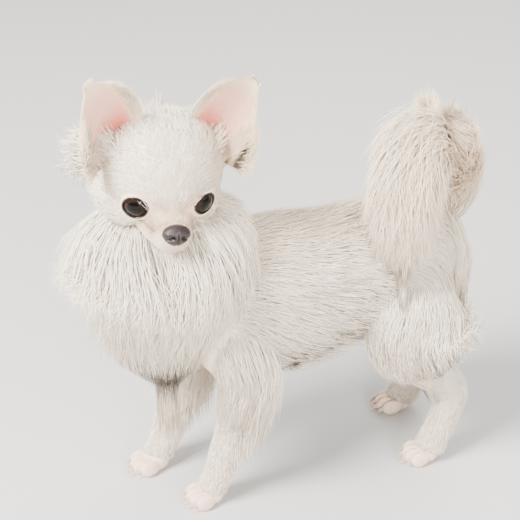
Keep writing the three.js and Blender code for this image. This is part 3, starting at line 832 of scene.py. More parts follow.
def eye_surface(sign, rows=56, columns=72):
    """A ball about the eye's middle whose pole looks ahead, raised over the iris as a clear cornea."""
    facing, across, up = eye_axes(sign)
    tilt = np.linspace(0, np.pi, rows)[:, None]
    turn = np.linspace(0, TURN, columns, endpoint=False)[None, :]
    radius = EYE_RADIUS + 0.7 * (1 - smooth(0.0, 0.75, tilt))
    ball = (facing * np.cos(tilt)[..., None] + across * (np.sin(tilt) * np.cos(turn))[..., None]
            + up * (np.sin(tilt) * np.sin(turn))[..., None])
    points = sided(EYE_AT, sign) + ball * radius[..., None]
    gaze = np.repeat(tilt, columns, axis=1)
    angles = np.concatenate([gaze[1:-1].reshape(-1), [0.0, np.pi]])
    verts, faces = closed_grid(in_head(points))
    return verts, faces, angles


def eye_material():
    """Black pupil, very dark brown iris, a dark rim and a dull white, under a wet gloss."""
    material, nodes, links, shader = new_material("Wet eye")
    gaze = nodes.new("ShaderNodeAttribute")
    gaze.attribute_name = "gaze"
    ramp = nodes.new("ShaderNodeValToRGB")
    iris = (*colours().iris, 1)
    stops = ramp.color_ramp.elements
    stops[0].position, stops[0].color = 0.0, (0.002, 0.0015, 0.001, 1)
    stops[1].position, stops[1].color = 1.0, (0.10, 0.07, 0.06, 1)
    for place, colour in ((0.12, (0.002, 0.0015, 0.001, 1)), (0.15, iris), (0.20, iris),
                          (0.24, (0.004, 0.002, 0.002, 1)), (0.40, (0.03, 0.016, 0.014, 1))):
        stops.new(place).color = colour
    scale = nodes.new("ShaderNodeMath")
    scale.operation = "MULTIPLY"
    scale.inputs[1].default_value = 1 / np.pi
    links.new(gaze.outputs["Fac"], scale.inputs[0])
    links.new(scale.outputs["Value"], ramp.inputs["Fac"])
    links.new(ramp.outputs["Color"], shader.inputs["Base Color"])
    shader.inputs["Roughness"].default_value = 0.04
    shader.inputs["IOR"].default_value = 1.45
    shader.inputs["Specular IOR Level"].default_value = 0.15
    shader.inputs["Coat Weight"].default_value = 0.08
    shader.inputs["Coat Roughness"].default_value = 0.02
    return material


class ChihuahuaEyes(bpy.types.Operator):
    """Two glossy eyeballs with a raised cornea, and the dark rims of their lids."""
    bl_idname = "chihuahua.eyes"
    bl_label = "Eyes and lids"

    def execute(self, context):
        gloss = eye_material()
        rim = rim_material()
        for sign, side in ((1, "left"), (-1, "right")):
            verts, faces, angles = eye_surface(sign)
            piece = mesh_object("eyeball_" + side, to_row(verts), faces if sign < 0 else flipped(faces))
            set_number(piece.data, "gaze", angles)
            piece.data.materials.append(gloss)
            settle(piece, "eyes", "eye_" + side)
            points, quads = lid_ring(sign, 0.6, 0.65, 0.5, 96, 12)
            lid = mesh_object("lid_rim_" + side, to_row(points), quads if sign > 0 else flipped(quads))
            lid.data.materials.append(rim)
            settle(lid, "nose_leather")
        return {"FINISHED"}


def rim_material():
    """Black, moist skin of the lids' edge."""
    material, nodes, links, shader = new_material("Lid rim")
    noise = nodes.new("ShaderNodeTexNoise")
    noise.inputs["Scale"].default_value = 700.0
    place = nodes.new("ShaderNodeTexCoord")
    links.new(place.outputs["Object"], noise.inputs["Vector"])
    ramp = nodes.new("ShaderNodeValToRGB")
    ramp.color_ramp.elements[0].color = (0.005, 0.003, 0.003, 1)
    ramp.color_ramp.elements[1].color = (0.014, 0.009, 0.009, 1)
    links.new(noise.outputs["Fac"], ramp.inputs["Fac"])
    links.new(ramp.outputs["Color"], shader.inputs["Base Color"])
    shader.inputs["Roughness"].default_value = 0.28
    return material


# Nose

def nose_surface(rows=90, columns=120):
    """An ellipsoid, flattened in front, with two comma nostrils, a groove down its middle and a slit at
    each side: each a bell curve pressed in along the way out from its middle. It also gives how deep each
    vertex lies in them, for the shade painted into these hollows."""
    tilt = np.linspace(0, np.pi, rows)[:, None]
    turn = np.linspace(0, TURN, columns, endpoint=False)[None, :]
    x = np.sin(tilt) * np.cos(turn)
    z = np.sin(tilt) * np.sin(turn)
    y = -np.cos(tilt) + 0 * turn
    front = smooth(-0.1, -0.5, y)
    hole = np.exp(-(((np.abs(x) - 0.43) / 0.2) ** 2 + ((z - 0.06 + 0.25 * (np.abs(x) - 0.43)) / 0.23) ** 2))
    slit = np.exp(-(((z + 0.12 + 0.35 * (np.abs(x) - 0.6)) / 0.1) ** 2)) * smooth(0.5, 0.62, np.abs(x))
    middle = np.exp(-((x / 0.055) ** 2)) * smooth(0.75, 0.2, z)
    top = smooth(0.3, 0.9, z) * 0.10
    press = 1 - front * (0.42 * hole + 0.16 * middle) - smooth(0.2, -0.5, y) * 0.22 * slit - top
    taper = 1 - 0.24 * smooth(0.0, -1.0, z)
    points = np.stack([x * NOSE_HALF[0] * taper, y * NOSE_HALF[1], z * NOSE_HALF[2]], axis=-1)
    points = points * press[..., None]
    # Painted shade: how deep each vertex lies in a nostril, the middle groove or a side slit
    deep = np.clip(hole * front + 0.5 * slit + 0.3 * middle * front, 0, 1)
    verts, faces = closed_grid(in_head(points + NOSE_AT))
    shade = np.concatenate([deep[1:-1].reshape(-1), [0.0, 0.0]])
    return verts, faces, shade


def nose_material():
    """Dark leather with fine pebbles, pinker where the colour is thin, with the same gloss all over."""
    material, nodes, links, shader = new_material("Nose leather")
    place = nodes.new("ShaderNodeTexCoord")
    cells = nodes.new("ShaderNodeTexVoronoi")
    cells.inputs["Scale"].default_value = 1500.0
    links.new(place.outputs["Object"], cells.inputs["Vector"])
    relief = nodes.new("ShaderNodeBump")
    relief.inputs["Strength"].default_value = 0.5
    relief.inputs["Distance"].default_value = 0.3 * MM
    relief.invert = True
    links.new(cells.outputs["Distance"], relief.inputs["Height"])
    links.new(relief.outputs["Normal"], shader.inputs["Normal"])
    noise = nodes.new("ShaderNodeTexNoise")
    noise.inputs["Scale"].default_value = 160.0
    links.new(place.outputs["Object"], noise.inputs["Vector"])
    ramp = nodes.new("ShaderNodeValToRGB")
    ramp.color_ramp.elements[0].position = 0.35
    ramp.color_ramp.elements[0].color = (*colours().nose, 1)
    ramp.color_ramp.elements[1].position = 0.75
    ramp.color_ramp.elements[1].color = (0.034, 0.017, 0.021, 1)
    links.new(noise.outputs["Fac"], ramp.inputs["Fac"])
    # Painted shade: nostrils, middle groove and side slits darkened towards black by their depth
    hollow = nodes.new("ShaderNodeAttribute")
    hollow.attribute_name = "hollow"
    dark = nodes.new("ShaderNodeMix")
    dark.data_type = "RGBA"
    dark.inputs["B"].default_value = (0.004, 0.002, 0.002, 1)
    links.new(hollow.outputs["Fac"], dark.inputs["Factor"])
    links.new(ramp.outputs["Color"], dark.inputs["A"])
    links.new(dark.outputs["Result"], shader.inputs["Base Color"])
    shader.inputs["Roughness"].default_value = 0.36
    return material


class ChihuahuaNose(bpy.types.Operator):
    """The nose leather with its nostrils, worked out on a grid of latitude and longitude."""
    bl_idname = "chihuahua.nose"
    bl_label = "Nose"

    def execute(self, context):
        verts, faces, shade = nose_surface()
        piece = mesh_object("nose_leather", to_row(verts), faces)
        outward(piece)
        # How deep each vertex lies in a nostril, the groove or a slit, for the nose's painted shade
        set_number(piece.data, "hollow", shade)
        piece.data.materials.append(nose_material())
        settle(piece, "nose_leather", "nose")
        return {"FINISHED"}


def outward(piece):
    """A closed piece whose faces point in is turned round: the sum of its signed volumes is negative."""
    mesh = piece.data
    mesh.calc_loop_triangles()
    corners = np.empty(len(mesh.loop_triangles) * 3, dtype=np.int32)
    mesh.loop_triangles.foreach_get("vertices", corners)
    a, b, c = np.moveaxis(vertex_points(mesh)[corners.reshape(-1, 3)], 1, 0)
    if np.sum(a * np.cross(b, c)) < 0:
        mesh.flip_normals()


# Claws and whiskers

def strand_tubes(path, across, out, wide, thick):
    """Closed three-sided tapered tubes, one for each path: path is (tubes, rings, 3), with across and out as
    its section's axes and wide and thick its half sizes. The first and last rings are single points."""
    count, rings = path.shape[:2]
    corner = np.array([np.pi / 2, np.pi / 2 + TURN / 3, np.pi / 2 + 2 * TURN / 3])
    middle = path[:, 1:-1, None]
    section = (middle + across[:, 1:-1, None] * (wide[:, 1:-1, None] * np.cos(corner))[..., None]
               + out[:, 1:-1, None] * (thick[:, 1:-1, None] * np.sin(corner))[..., None])
    inner = rings - 2
    each = inner * 3 + 2
    verts = np.concatenate([path[:, :1], section.reshape(count, inner * 3, 3), path[:, -1:]], axis=1)
    faces = []
    for k in range(3):
        n = (k + 1) % 3
        faces.append([0, 1 + k, 1 + n])
        for ring in range(inner - 1):
            a, b = 1 + ring * 3 + k, 1 + ring * 3 + n
            faces += [[a, b + 3, b], [a, a + 3, b + 3]]
        faces.append([each - 1, 1 + (inner - 1) * 3 + n, 1 + (inner - 1) * 3 + k])
    pattern = np.array(faces)
    starts = np.arange(count)[:, None, None] * each
    return verts.reshape(-1, 3), (pattern[None] + starts).reshape(-1, 3), each


class ChihuahuaClaws(bpy.types.Operator):
    """A short curved claw on each toe: an oval section carried along an arc and drawn to a point."""
    bl_idname = "chihuahua.claws"
    bl_label = "Claws"

    def execute(self, context):
        parts = []
        t = np.linspace(0, 1, 10)[:, None]
        turn = np.linspace(0, TURN, 12, endpoint=False)[None, :]
        for _, toes in paws():
            for at, half in toes:
                base = np.array([at[0], at[1] - half[1] + 1.6, 5.0])
                bow = np.stack([0 * t, -5.4 * t, 1.2 * np.sin(np.pi * t) - 3.4 * t ** 2], axis=-1)
                size = (1 - t ** 2) ** 0.6 * np.minimum(1, t * 9)
                ring = np.stack([0.85 * size * np.cos(turn), 0 * turn + 0 * t, 1.15 * size * np.sin(turn)],
                                axis=-1)
                parts.append(closed_grid(bend(base + bow + ring)))
        verts, faces = joined(parts)
        piece = mesh_object("claws", to_row(verts), faces)
        outward(piece)
        set_colour(piece.data, "tint", np.tile(np.array(colours().claw), (len(verts), 1)))
        piece.data.materials.append(attribute_material("Claw horn", "tint", 500.0, 0.4, 0.35, scatter=0.2))
        settle(piece, "claws")
        return {"FINISHED"}


class ChihuahuaWhiskers(bpy.types.Operator):
    """Fine white whiskers: tapered tubes along arcs that leave the lips and droop."""
    bl_idname = "chihuahua.whiskers"
    bl_label = "Whiskers"

    def execute(self, context):
        random = np.random.default_rng(coat_sizes().seed + 5)
        muzzle = forms()["muzzle"]
        count = 44
        side = np.where(np.arange(count) % 2, 1.0, -1.0)
        u = random.uniform(0.35, 0.9, count)
        around = side * random.uniform(0.27, 0.40, count)
        root = muzzle.point(u, around, np.full(count, -1.0))
        out = unit(muzzle.point(u, around, np.full(count, 4.0)) - root)
        back = (HEAD @ np.array([0, 1.0, 0.1]))[None]
        lie = unit(out * 1.2 + back * random.uniform(0.1, 0.6, (count, 1))
                   + random.normal(0, 0.25, (count, 3)))
        length = random.uniform(16, 34, count)[:, None, None]
        t = np.linspace(0, 1, 9)[None, :, None]
        down = np.array([0, 0, -1.0])
        path = root[:, None] + lie[:, None] * length * t + down * length * 0.22 * t ** 2
        clear = ~over_eyes(path)
        path, lie, length = path[clear], lie[clear], length[clear]
        across = unit(np.cross(lie, down))[:, None] + 0 * path
        outer = np.cross(across, lie[:, None])
        wide = 0.11 * (1 - t[..., 0] ** 1.5) + 0.02 + 0 * length[..., 0]
        verts, faces, _ = strand_tubes(path, across, outer, wide, wide)
        piece = mesh_object("whiskers", to_row(verts), [faces])
        outward(piece)
        set_colour(piece.data, "tint", np.tile(np.array([0.9, 0.88, 0.85]), (len(verts), 1)))
        piece.data.materials.append(attribute_material("Whisker", "tint", 90.0, 0.1, 0.4))
        settle(piece, "face_coat")
        return {"FINISHED"}


# Coat

def axis_inside(points, name, margin):
    """True for points that lie inside a named form by more than the margin, measured from its stations."""
    form = forms()[name]
    u = np.linspace(0, 1, 24)
    at = spline(form.stations, u)[0]
    centre = form.ring(u, 0 * u, -at[:, 4], np.ones(24), 0 * u)
    ahead = unit(np.gradient(centre, axis=0))
    side = unit(form.ring(u, 0 * u + 0.25, 0 * u, np.ones(24), 0 * u) - centre)
    back = np.cross(side, ahead)
    reach = form.rounding * form.stations[[0, -1], 3:].min(axis=1)
    distance = ((points[:, None] - centre[None]) ** 2).sum(axis=-1)
    near = distance.argmin(axis=1)
    local = points - centre[near]
    along = np.sum(local * ahead[near], axis=1)
    wide = np.sum(local * side[near], axis=1) / np.maximum(at[near, 3] - margin, 1)
    deep = np.sum(local * back[near], axis=1) / np.maximum(at[near, 4] - margin, 1)
    cap = np.where(near == 0, reach[0], np.where(near == 23, reach[1], 1e3))
    return wide ** 2 + deep ** 2 + (along / cap) ** 2 < 1


# Each patch of coat: its form, the span of u and of the turn, how many tufts, and their length, rise, width,
# sweep towards the belly or front, fall of the tips and clumping. Each may be a number or a function of
# (u, turned), where turned is 0 at the back or top and half a turn at the front or belly.

def front(turned):
    """1 at the front or belly and 0 from the sides back."""
    return np.clip(np.abs(turned) * 4 - 1, 0, 1)


def rear(turned):
    """1 at the back or rear and 0 from the sides on."""
    return np.clip(1.2 - np.abs(turned) * 5, 0, 1)


def flare(u, turned):
    """How much further the top of the ruff stands out at the sides, most where the head is turned away."""
    away = np.maximum(np.cos((turned + 0.47) * TURN), 0)
    return smooth(0.55, 0.05, u) * (7 * flank(turned) + 17 * away)


def flank(turned):
    """1 at the sides, a quarter turn from the back, and 0 at the back and front."""
    return np.sin(np.clip(np.abs(turned), 0, 0.5) * TURN)


def body_patches(body, ruff, tail, wide):
    """The patches of the trunk, neck and tail."""
    return [
        dict(name="coat_back", form="trunk", u=(-0.02, 1.12), around=(-0.2, 0.2), count=9000, length=body,
             rise=lambda u, a: 5 + 4 * smooth(0.7, 1.0, u), width=wide, sweep=0.05,
             fall=lambda u, a: 8 * smooth(0.75, 1.0, u) + 14 * smooth(1.0, 1.06, u), clump=8,
             slot="body_coat"),
        dict(name="coat_flanks", form="trunk", u=(0.0, 1.1), around=(0.2, 0.8), count=10000,
             length=lambda u, a: body * (1 + 0.25 * front(a)), rise=lambda u, a: 7 + 3 * front(a),
             width=wide, sweep=0.06,
             fall=lambda u, a: 3 + 7 * front(a) * smooth(0.1, 0.4, u) + 24 * smooth(0.62, 0.9, u) * flank(a)
             + 14 * smooth(1.0, 1.06, u),
             clump=9, slot="body_coat"),
        dict(name="coat_ruff", form="neck", u=(-0.12, 0.5), around=(-0.5, 0.5), count=10500,
             length=lambda u, a: ruff * (0.8 + 0.2 * front(a)),
             rise=lambda u, a: 13 + 8 * front(a) * smooth(0.1, 0.4, u) + flare(u, a),
             width=wide, sweep=0.02,
             fall=3, clump=10, slot="ruff_coat"),
        dict(name="coat_chest", form="neck", u=(0.4, 1.13), around=(-0.5, 0.5), count=9500, length=ruff,
             rise=lambda u, a: 11 + 8 * front(a), width=wide, sweep=0.02,
             fall=lambda u, a: 3 + 7 * smooth(0.6, 1, u), clump=10, slot="ruff_coat"),
        dict(name="coat_tail_root", form="tail_up", u=(-0.05, 1.02), around=(-0.5, 0.5), count=7800,
             length=lambda u, a: tail * (0.85 - 0.25 * u),
             rise=lambda u, a: (9 + 22 * u) * (1 - 0.4 * front(a)),
             width=wide, sweep=0.0, fall=lambda u, a: -12 * smooth(0.4, 1.0, u), clump=9,
             slot="tail_coat"),
        dict(name="coat_tail_plume", form="tail_down", u=(-0.02, 1.04), around=(-0.5, 0.5), count=9000,
             length=lambda u, a: tail * (0.75 + 0.25 * smooth(0, 0.3, u) - 0.3 * u),
             rise=lambda u, a: 21 - 16 * smooth(0, 1, u), width=wide,
             sweep=0.0, fall=lambda u, a: 5 * np.sin(np.pi * np.clip(u, 0, 1)), clump=9, slot="tail_coat"),
    ]


def head_patches(wide, fine):
    """The patches of the head, and of the paws."""
    return [
        dict(name="coat_skull", form="skull", u=(-0.09, 1.09), around=(-0.5, 0.5), count=9800,
             length=lambda u, a: 5 + 10 * smooth(0.1, 0.9, u) + 9 * flank(a) * smooth(0.35, 0.8, u),
             rise=lambda u, a: 1.0 + 3.4 * smooth(0.3, 1.0, u) + 5 * flank(a) * smooth(0.4, 0.8, u),
             width=fine * 1.1, sweep=0.03,
             fall=lambda u, a: 3 * flank(a) * smooth(0.4, 0.8, u) + 11 * smooth(0.88, 1.06, u), clump=3,
             slot="face_coat"),
        dict(name="coat_mane", form="skull", u=(0.42, 1.09), around=(0.14, 0.86), count=6500,
             length=lambda u, a: 18 + 8 * smooth(0.5, 0.9, u),
             rise=lambda u, a: 9 + 28 * smooth(0.4, 0.7, u) * flank(a),
             width=wide * 0.8, sweep=0.05, fall=lambda u, a: 5 + 8 * smooth(0.5, 0.9, u), clump=5,
             slot="ruff_coat"),
        dict(name="coat_muzzle", form="muzzle", u=(-0.1, 1.2), around=(-0.5, 0.5), count=4600, length=-4.0,
             rise=0.7, width=fine * 0.65, sweep=0.02, fall=0, clump=1, slot="face_coat"),
        dict(name="coat_jaw", form="jaw", u=(0.0, 1.11), around=(0.15, 0.85), count=2400, length=-5.5,
             rise=1.2, width=fine * 0.75, sweep=0.0, fall=0.6, clump=1, slot="face_coat"),
        dict(name="coat_paws", form="toe", u=(0.0, 1.25), around=(-0.4, 0.4), count=4400, length=4.5,
             rise=0.8, width=fine * 0.75, sweep=0.0, fall=0.6, clump=1, slot="leg_coat"),
    ]


def side_patches(side, wide, fine):
    """The patches of one side: cheek, legs and ear."""
    return [
        dict(name="coat_cheek_" + side, form="cheek_" + side, u=(-0.3, 1.4), around=(-0.5, 0.5), count=4600,
             length=lambda u, a: 6 + 30 * smooth(0.1, 1.0, u),
             rise=lambda u, a: 1.2 + 21 * smooth(0.2, 1.1, u), width=fine * 1.2, sweep=0.04,
             fall=lambda u, a: 9 * smooth(0.2, 1, u), clump=5, slot="face_coat"),
        dict(name="coat_foreleg_" + side, form="foreleg_" + side, u=(0.0, 1.03), around=(-0.5, 0.5),
             count=5600,
             length=lambda u, a: 7 + 22 * smooth(0.55, 0.15, u) + 16 * rear(a) * smooth(0.85, 0.5, u),
             rise=lambda u, a: 1.2 + 3.5 * smooth(0.5, 0.1, u) + 12 * rear(a) * smooth(0.85, 0.45, u),
             width=lambda u, a: fine + (wide - fine) * smooth(0.6, 0.25, u), sweep=0.0,
             fall=lambda u, a: 5 * rear(a) * smooth(0.9, 0.4, u), clump=6, slot="leg_coat"),
        dict(name="coat_thigh_" + side, form="thigh_" + side, u=(-0.05, 1.1), around=(-0.5, 0.5), count=5200,
             length=lambda u, a: 30 + 4 * rear(a),
             rise=lambda u, a: 5 + 31 * rear(a) * smooth(-0.1, 0.35, u),
             width=wide, sweep=0.0, fall=lambda u, a: 2 + 5 * rear(a), clump=8, slot="body_coat"),
        dict(name="coat_hindleg_" + side, form="hindleg_" + side, u=(0.0, 1.03), around=(-0.5, 0.5),
             count=4200,
             length=lambda u, a: 7 + 6 * rear(a), rise=lambda u, a: 1.2 + 2 * rear(a), width=fine, sweep=0.0,
             fall=0.5, clump=3, slot="leg_coat"),
        dict(name="coat_ear_" + side, form="ear_" + side, u=(0.2, 0.97), around=(-0.27, 0.27), count=3400,
             length=lambda u, a: 6 + 8 * smooth(0.12, 0.24, np.abs(a)) * smooth(0.95, 0.5, u),
             rise=lambda u, a: 0.8 + 4 * smooth(0.15, 0.25, np.abs(a)) * smooth(0.9, 0.4, u), width=fine,
             sweep=0.0, fall=0, clump=2, slot="ears"),
        dict(name="fringe_ear_" + side, form="ear_" + side, u=(0.2, 0.66), around=(0.22, 0.3), count=900,
             length=lambda u, a: 26 - 14 * smooth(0.35, 0.66, u),
             rise=lambda u, a: 15 - 10 * smooth(0.3, 0.66, u),
             width=wide * 0.8, sweep=0.05, fall=lambda u, a: 10 * smooth(0.5, 0.2, u), clump=4, slot="ears"),
        dict(name="lining_ear_" + side, form="ear_" + side, u=(0.2, 0.72), around=(-0.33, -0.23), count=420,
             length=15, rise=lambda u, a: 3 + 3 * smooth(0.3, 0.6, u), width=fine * 0.8, sweep=0.06, fall=-2,
             clump=2, slot="ears"),
        dict(name="tassel_ear_" + side, form="ear_" + side, u=(0.2, 0.5), around=(0.23, 0.36), count=380,
             length=16, rise=4, width=fine * 0.8, sweep=0.06, fall=1, clump=2, slot="ears"),
        dict(name="edge_ear_" + side, form="ear_" + side, u=(0.3, 0.96), around=(0.2, 0.3), count=700,
             length=lambda u, a: 12 - 7 * smooth(0.5, 0.95, u), rise=2.4, width=fine, sweep=0.03, fall=0,
             clump=2, slot="ears"),
    ]


def coat_patches():
    """Every patch of the coat, in the order in which they are drawn."""
    sizes = coat_sizes()
    wide, fine = sizes.width / MM, sizes.fine / MM
    patches = body_patches(sizes.body / MM, sizes.ruff / MM, sizes.tail / MM, wide)
    patches += head_patches(wide, fine)
    for side in ("left", "right"):
        patches += side_patches(side, wide, fine)
    return patches


# Where a tuft's rings lie along it, how wide it is there and how far its colour has gone to the tip's
LONG_TUFT = dict(at=[0, 0.12, 0.4, 0.7, 1.0], width=[0, 0.8, 1.0, 0.72, 0],
                 tone=[0.0, 0.05, 0.35, 0.8, 1.0])
SHORT_TUFT = dict(at=[0, 0.2, 0.65, 1.0], width=[0, 1.0, 0.75, 0], tone=[0.0, 0.1, 0.6, 1.0])
SHORT_FORMS = ("skull", "muzzle", "jaw", "cheek", "toe", "ear", "foreleg", "hindleg")

# How far a tuft's setting may be scaled down or up, how flat a tuft is and how far its shading is the coat's
TUFT_SPREAD = (("length", 0.75, 1.15), ("rise", 0.7, 1.15), ("width", 0.75, 1.2), ("fall", 0.5, 1.4))
TUFT_FLATNESS = 0.55
SOFTNESS = 0.4

# How far hair strays round its form, in parts of a turn, and how much longer a clump is than wide
LOOSE = {"tail_coat": 0.045, "ruff_coat": 0.032}
LOOSE_ELSEWHERE = 0.02
CLUMP_SHAPE = 1.6

# The baked map: cells along each side, the part of a cell left empty and used, and the size of a tuft's patch
BAKE_CELLS = 6
BAKE_EDGE = 0.05
BAKE_SPAN = 0.85
BAKE_PATCH = 0.003


def value(setting, u, turned):
    """A patch's setting for each tuft."""
    return setting(u, turned) if callable(setting) else np.full(u.shape, float(setting))


def all_forms():
    """Every form that hair grows on, the ears with them."""
    return {**forms(), "ear_left": EarForm(1), "ear_right": EarForm(-1)}


def hidden_under(points, own):
    """Roots that lie deep in another form, where no hair shows."""
    hidden = np.zeros(len(points), dtype=bool)
    for name in forms():
        if name != own:
            margin = 6.0 if name in ("trunk", "neck") else 2.5
            hidden |= axis_inside(points, name, margin)
    return hidden


def over_eyes(path):
    """True for tufts that would cross the opening of an eye."""
    local = (path - HEAD_AT) @ HEAD
    crossed = np.zeros(len(path), dtype=bool)
    for sign in (1, -1):
        ahead, edge = eye_plane(local, sign)
        crossed |= ((edge < 1.16) & (ahead > 0) & (ahead < 30)).any(axis=1)
    return crossed


def off_lips(points):
    """True for roots that leave the closed lips showing."""
    gap = np.linalg.norm(points[:, None] - mouth_line()[None], axis=-1).min(axis=1)
    return gap > 1.1


def grow_piece(patch, cell, random):
    """All the tufts of a patch: one form's, or those of every toe and pad."""
    if patch["form"] != "toe":
        return grow_patch(patch, all_forms()[patch["form"]], cell, random)
    toes = toe_forms()
    share = dict(patch, count=patch["count"] // len(toes))
    grown = [grow_patch(share, form, cell, random) for form in toes]
    starts = np.cumsum([0] + [len(part["verts"]) for part in grown[:-1]])
    whole = {name: np.concatenate([part[name] for part in grown])
             for name in ("verts", "tint", "atlas", "outer")}
    whole["faces"] = np.concatenate([part["faces"] + start for part, start in zip(grown, starts)])
    whole["each"] = grown[0]["each"]
    return whole


def draw_tufts(patch, form, random):
    """Roots drawn at random over the patch, less those that another form or the lips keep bare, with each
    tuft's length, rise, half width, fall and drift."""
    count = int(patch["count"] * coat_sizes().density)
    u = random.uniform(*patch["u"], count)
    around = random.uniform(*patch["around"], count)
    root = form.point(u, around, np.zeros(count))
    keep = ~hidden_under(root, patch["form"])
    if patch["form"] in ("muzzle", "jaw"):
        keep &= off_lips(root)
    u, around = u[keep], around[keep]
    turned = (around + 0.5) % 1 - 0.5
    tufts = dict(u=u, around=around, turned=turned)
    for name, low, high in TUFT_SPREAD:
        tufts[name] = value(patch[name], u, turned) * random.uniform(low, high, len(u))
    tufts["width"] = tufts["width"] / 2
    drift = patch["sweep"] * np.sign(turned) * np.minimum(1, np.abs(turned) * 6)
    tufts["drift"] = drift + random.normal(0, LOOSE.get(patch["slot"], LOOSE_ELSEWHERE), len(u))
    return tufts


def cell_noise(across, along, keys):
    """A number from -0.5 to 0.5 for each cell: the last digits of a large multiple of a sine."""
    return np.sin(across * keys[0] + along * keys[1]) * keys[2] % 1 - 0.5


def clump_homes(form, u, around, clump):
    """The middles of the clumps that tufts lean to, laid like bricks and each moved at random in its cell,
    and how far each was moved along and across."""
    across_cells = np.floor(around * form.girth / clump)
    along_cells = np.floor(u * form.length / (clump * CLUMP_SHAPE) + 0.5 * (across_cells % 2))
    off_across = cell_noise(across_cells, along_cells, (12.9898, 78.233, 43758.5453))
    off_along = cell_noise(across_cells, along_cells, (39.346, 11.135, 24634.6345))
    home_across = (across_cells + 0.5 + 0.5 * off_across) * clump / form.girth
    home_along = ((along_cells - 0.5 * (across_cells % 2) + 0.5 + 0.5 * off_along) * clump * CLUMP_SHAPE
                  / form.length)
    return home_along, home_across, off_along, off_across


def tuft_paths(patch, form, tufts, t, random):
    """Each tuft's path and the way out of its form, ring by ring: it runs on along u, drifts round, and rises
    by the 0.8 power of its run, while its tip leans to its clump's middle, waves a little and falls by the
    square of its run."""
    u, around = tufts["u"], tufts["around"]
    home_along, home_across, off_along, off_across = clump_homes(form, u, around, patch["clump"])
    swing = 0.025 * off_across + 0.01 * off_along
    lean = 0.32 * t ** 1.6
    run = u[:, None] + (tufts["length"] / form.length)[:, None] * t + (home_along - u)[:, None] * lean
    turn = around[:, None] + (tufts["drift"] + swing)[:, None] * t + (home_across - around)[:, None] * lean
    sunk = 1.8 if patch["clump"] > 6 else 0.9
    height = -sunk + (tufts["rise"] + sunk)[:, None] * t ** 0.8 * (1 + 0.25 * off_along[:, None] * t)
    if patch["form"] == "trunk":
        past = np.maximum(run - np.maximum(u, 1.0)[:, None], 0)
        run = run - past * 0.85
        turn = turn + np.where(tufts["turned"] < 0, -1, 1)[:, None] * past * form.length / form.girth * 0.8
    phase = random.uniform(0, TURN, (2, len(u)))[:, :, None]
    bow = min(1.6, 0.05 * np.abs(tufts["length"]).mean())
    turn = turn + bow * np.sin(phase[0] + 4 * t) * t / form.girth
    height = height + bow * 0.6 * np.sin(phase[1] + 4 * t) * t
    paths = form.point(run, turn, height)
    above = form.point(run, turn, height + 1.0)
    paths[..., 2] -= tufts["fall"][:, None] * t ** 2
    paths[..., 2] = np.maximum(paths[..., 2], 0.3)
    return paths, above, off_across


def tuft_tint(patch, middles, shade, each, tone):
    """The markings at each tuft's middle, a little lighter or darker by its shade and lighter to its tip."""
    base = coat_colour(middles, colours()) * shade[:, None]
    if patch["form"].startswith("ear"):
        base = base + (np.array(colours().cream) - base) * 0.45
    along = np.tile(tone, len(middles))
    return np.repeat(base, each, axis=0) * (0.93 + 0.07 * along)[:, None]


def bake_places(patch, cell, u, around):
    """Each root's place on the unwrapped skin: the patch has one cell, with u across and the turn up."""
    low = np.array([patch["u"][0], patch["around"][0]])
    size = np.array([patch["u"][1], patch["around"][1]]) - low
    corner = np.array([cell % BAKE_CELLS, cell // BAKE_CELLS]) + BAKE_EDGE
    return (corner + BAKE_SPAN * (np.stack([u, around], axis=1) - low) / size) / BAKE_CELLS


def grow_patch(patch, form, cell, random):
    """The tufts of one patch as closed tubes, with their tints, ways out and places on the baked map."""
    short = patch["form"].startswith(SHORT_FORMS) and patch["name"] != "coat_mane"
    tuft = SHORT_TUFT if short else LONG_TUFT
    tufts = draw_tufts(patch, form, random)
    paths, above, off_across = tuft_paths(patch, form, tufts, np.array(tuft["at"])[None], random)
    seen = ~over_eyes(paths)
    paths, above = paths[seen], above[seen]
    tangent = unit(np.gradient(paths, axis=1))
    across = unit(np.cross(tangent, unit(above - paths)))
    outer = np.cross(across, tangent)
    wide = tufts["width"][seen][:, None] * np.array(tuft["width"])[None]
    verts, faces, each = strand_tubes(paths, across, outer, wide, wide * TUFT_FLATNESS)
    shade = random.normal(1.0, 0.035, len(paths)) * (1 + 0.05 * off_across[seen])
    rings = [1] + [3] * (len(tuft["tone"]) - 2) + [1]
    return dict(verts=verts, faces=faces, each=each,
                tint=tuft_tint(patch, paths[:, 2], shade, each, np.repeat(tuft["tone"], rings)),
                outer=np.repeat(outer, rings, axis=1).reshape(-1, 3),
                atlas=bake_places(patch, cell, tufts["u"][seen], tufts["around"][seen]))


def soft_normals(mesh, outer, share):
    """Each tuft is shaded as part of the coat: its own normal mixed with the way out of its form, less where
    that points down."""
    own = vertex_normals(mesh)
    part = (share * smooth(-0.1, 0.5, outer[:, 2]))[:, None]
    mesh.normals_split_custom_set_from_vertices(unit(own * (1 - part) + outer * part).tolist())


def bake_map(mesh, atlas, each):
    """The map OFBake: each tuft is a patch 0.003 across at its root's place on the unwrapped skin."""
    ring = np.linspace(0, TURN, each, endpoint=False)
    patch = BAKE_PATCH / 2 * np.stack([np.cos(ring), np.sin(ring)], axis=1)
    corners = np.empty(len(mesh.loops), dtype=np.int32)
    mesh.loops.foreach_get("vertex_index", corners)
    uv = atlas[corners // each] + patch[corners % each]
    layer = mesh.uv_layers.new(name="OFBake")
    layer.data.foreach_set("uv", uv.astype(np.float32).reshape(-1))


def hair_material():
    """Soft pale hair, coloured by its tuft's own tint."""
    return attribute_material("Hair", "tint", 300.0, 0.12, 0.55, sheen=0.08, specular=0.2)


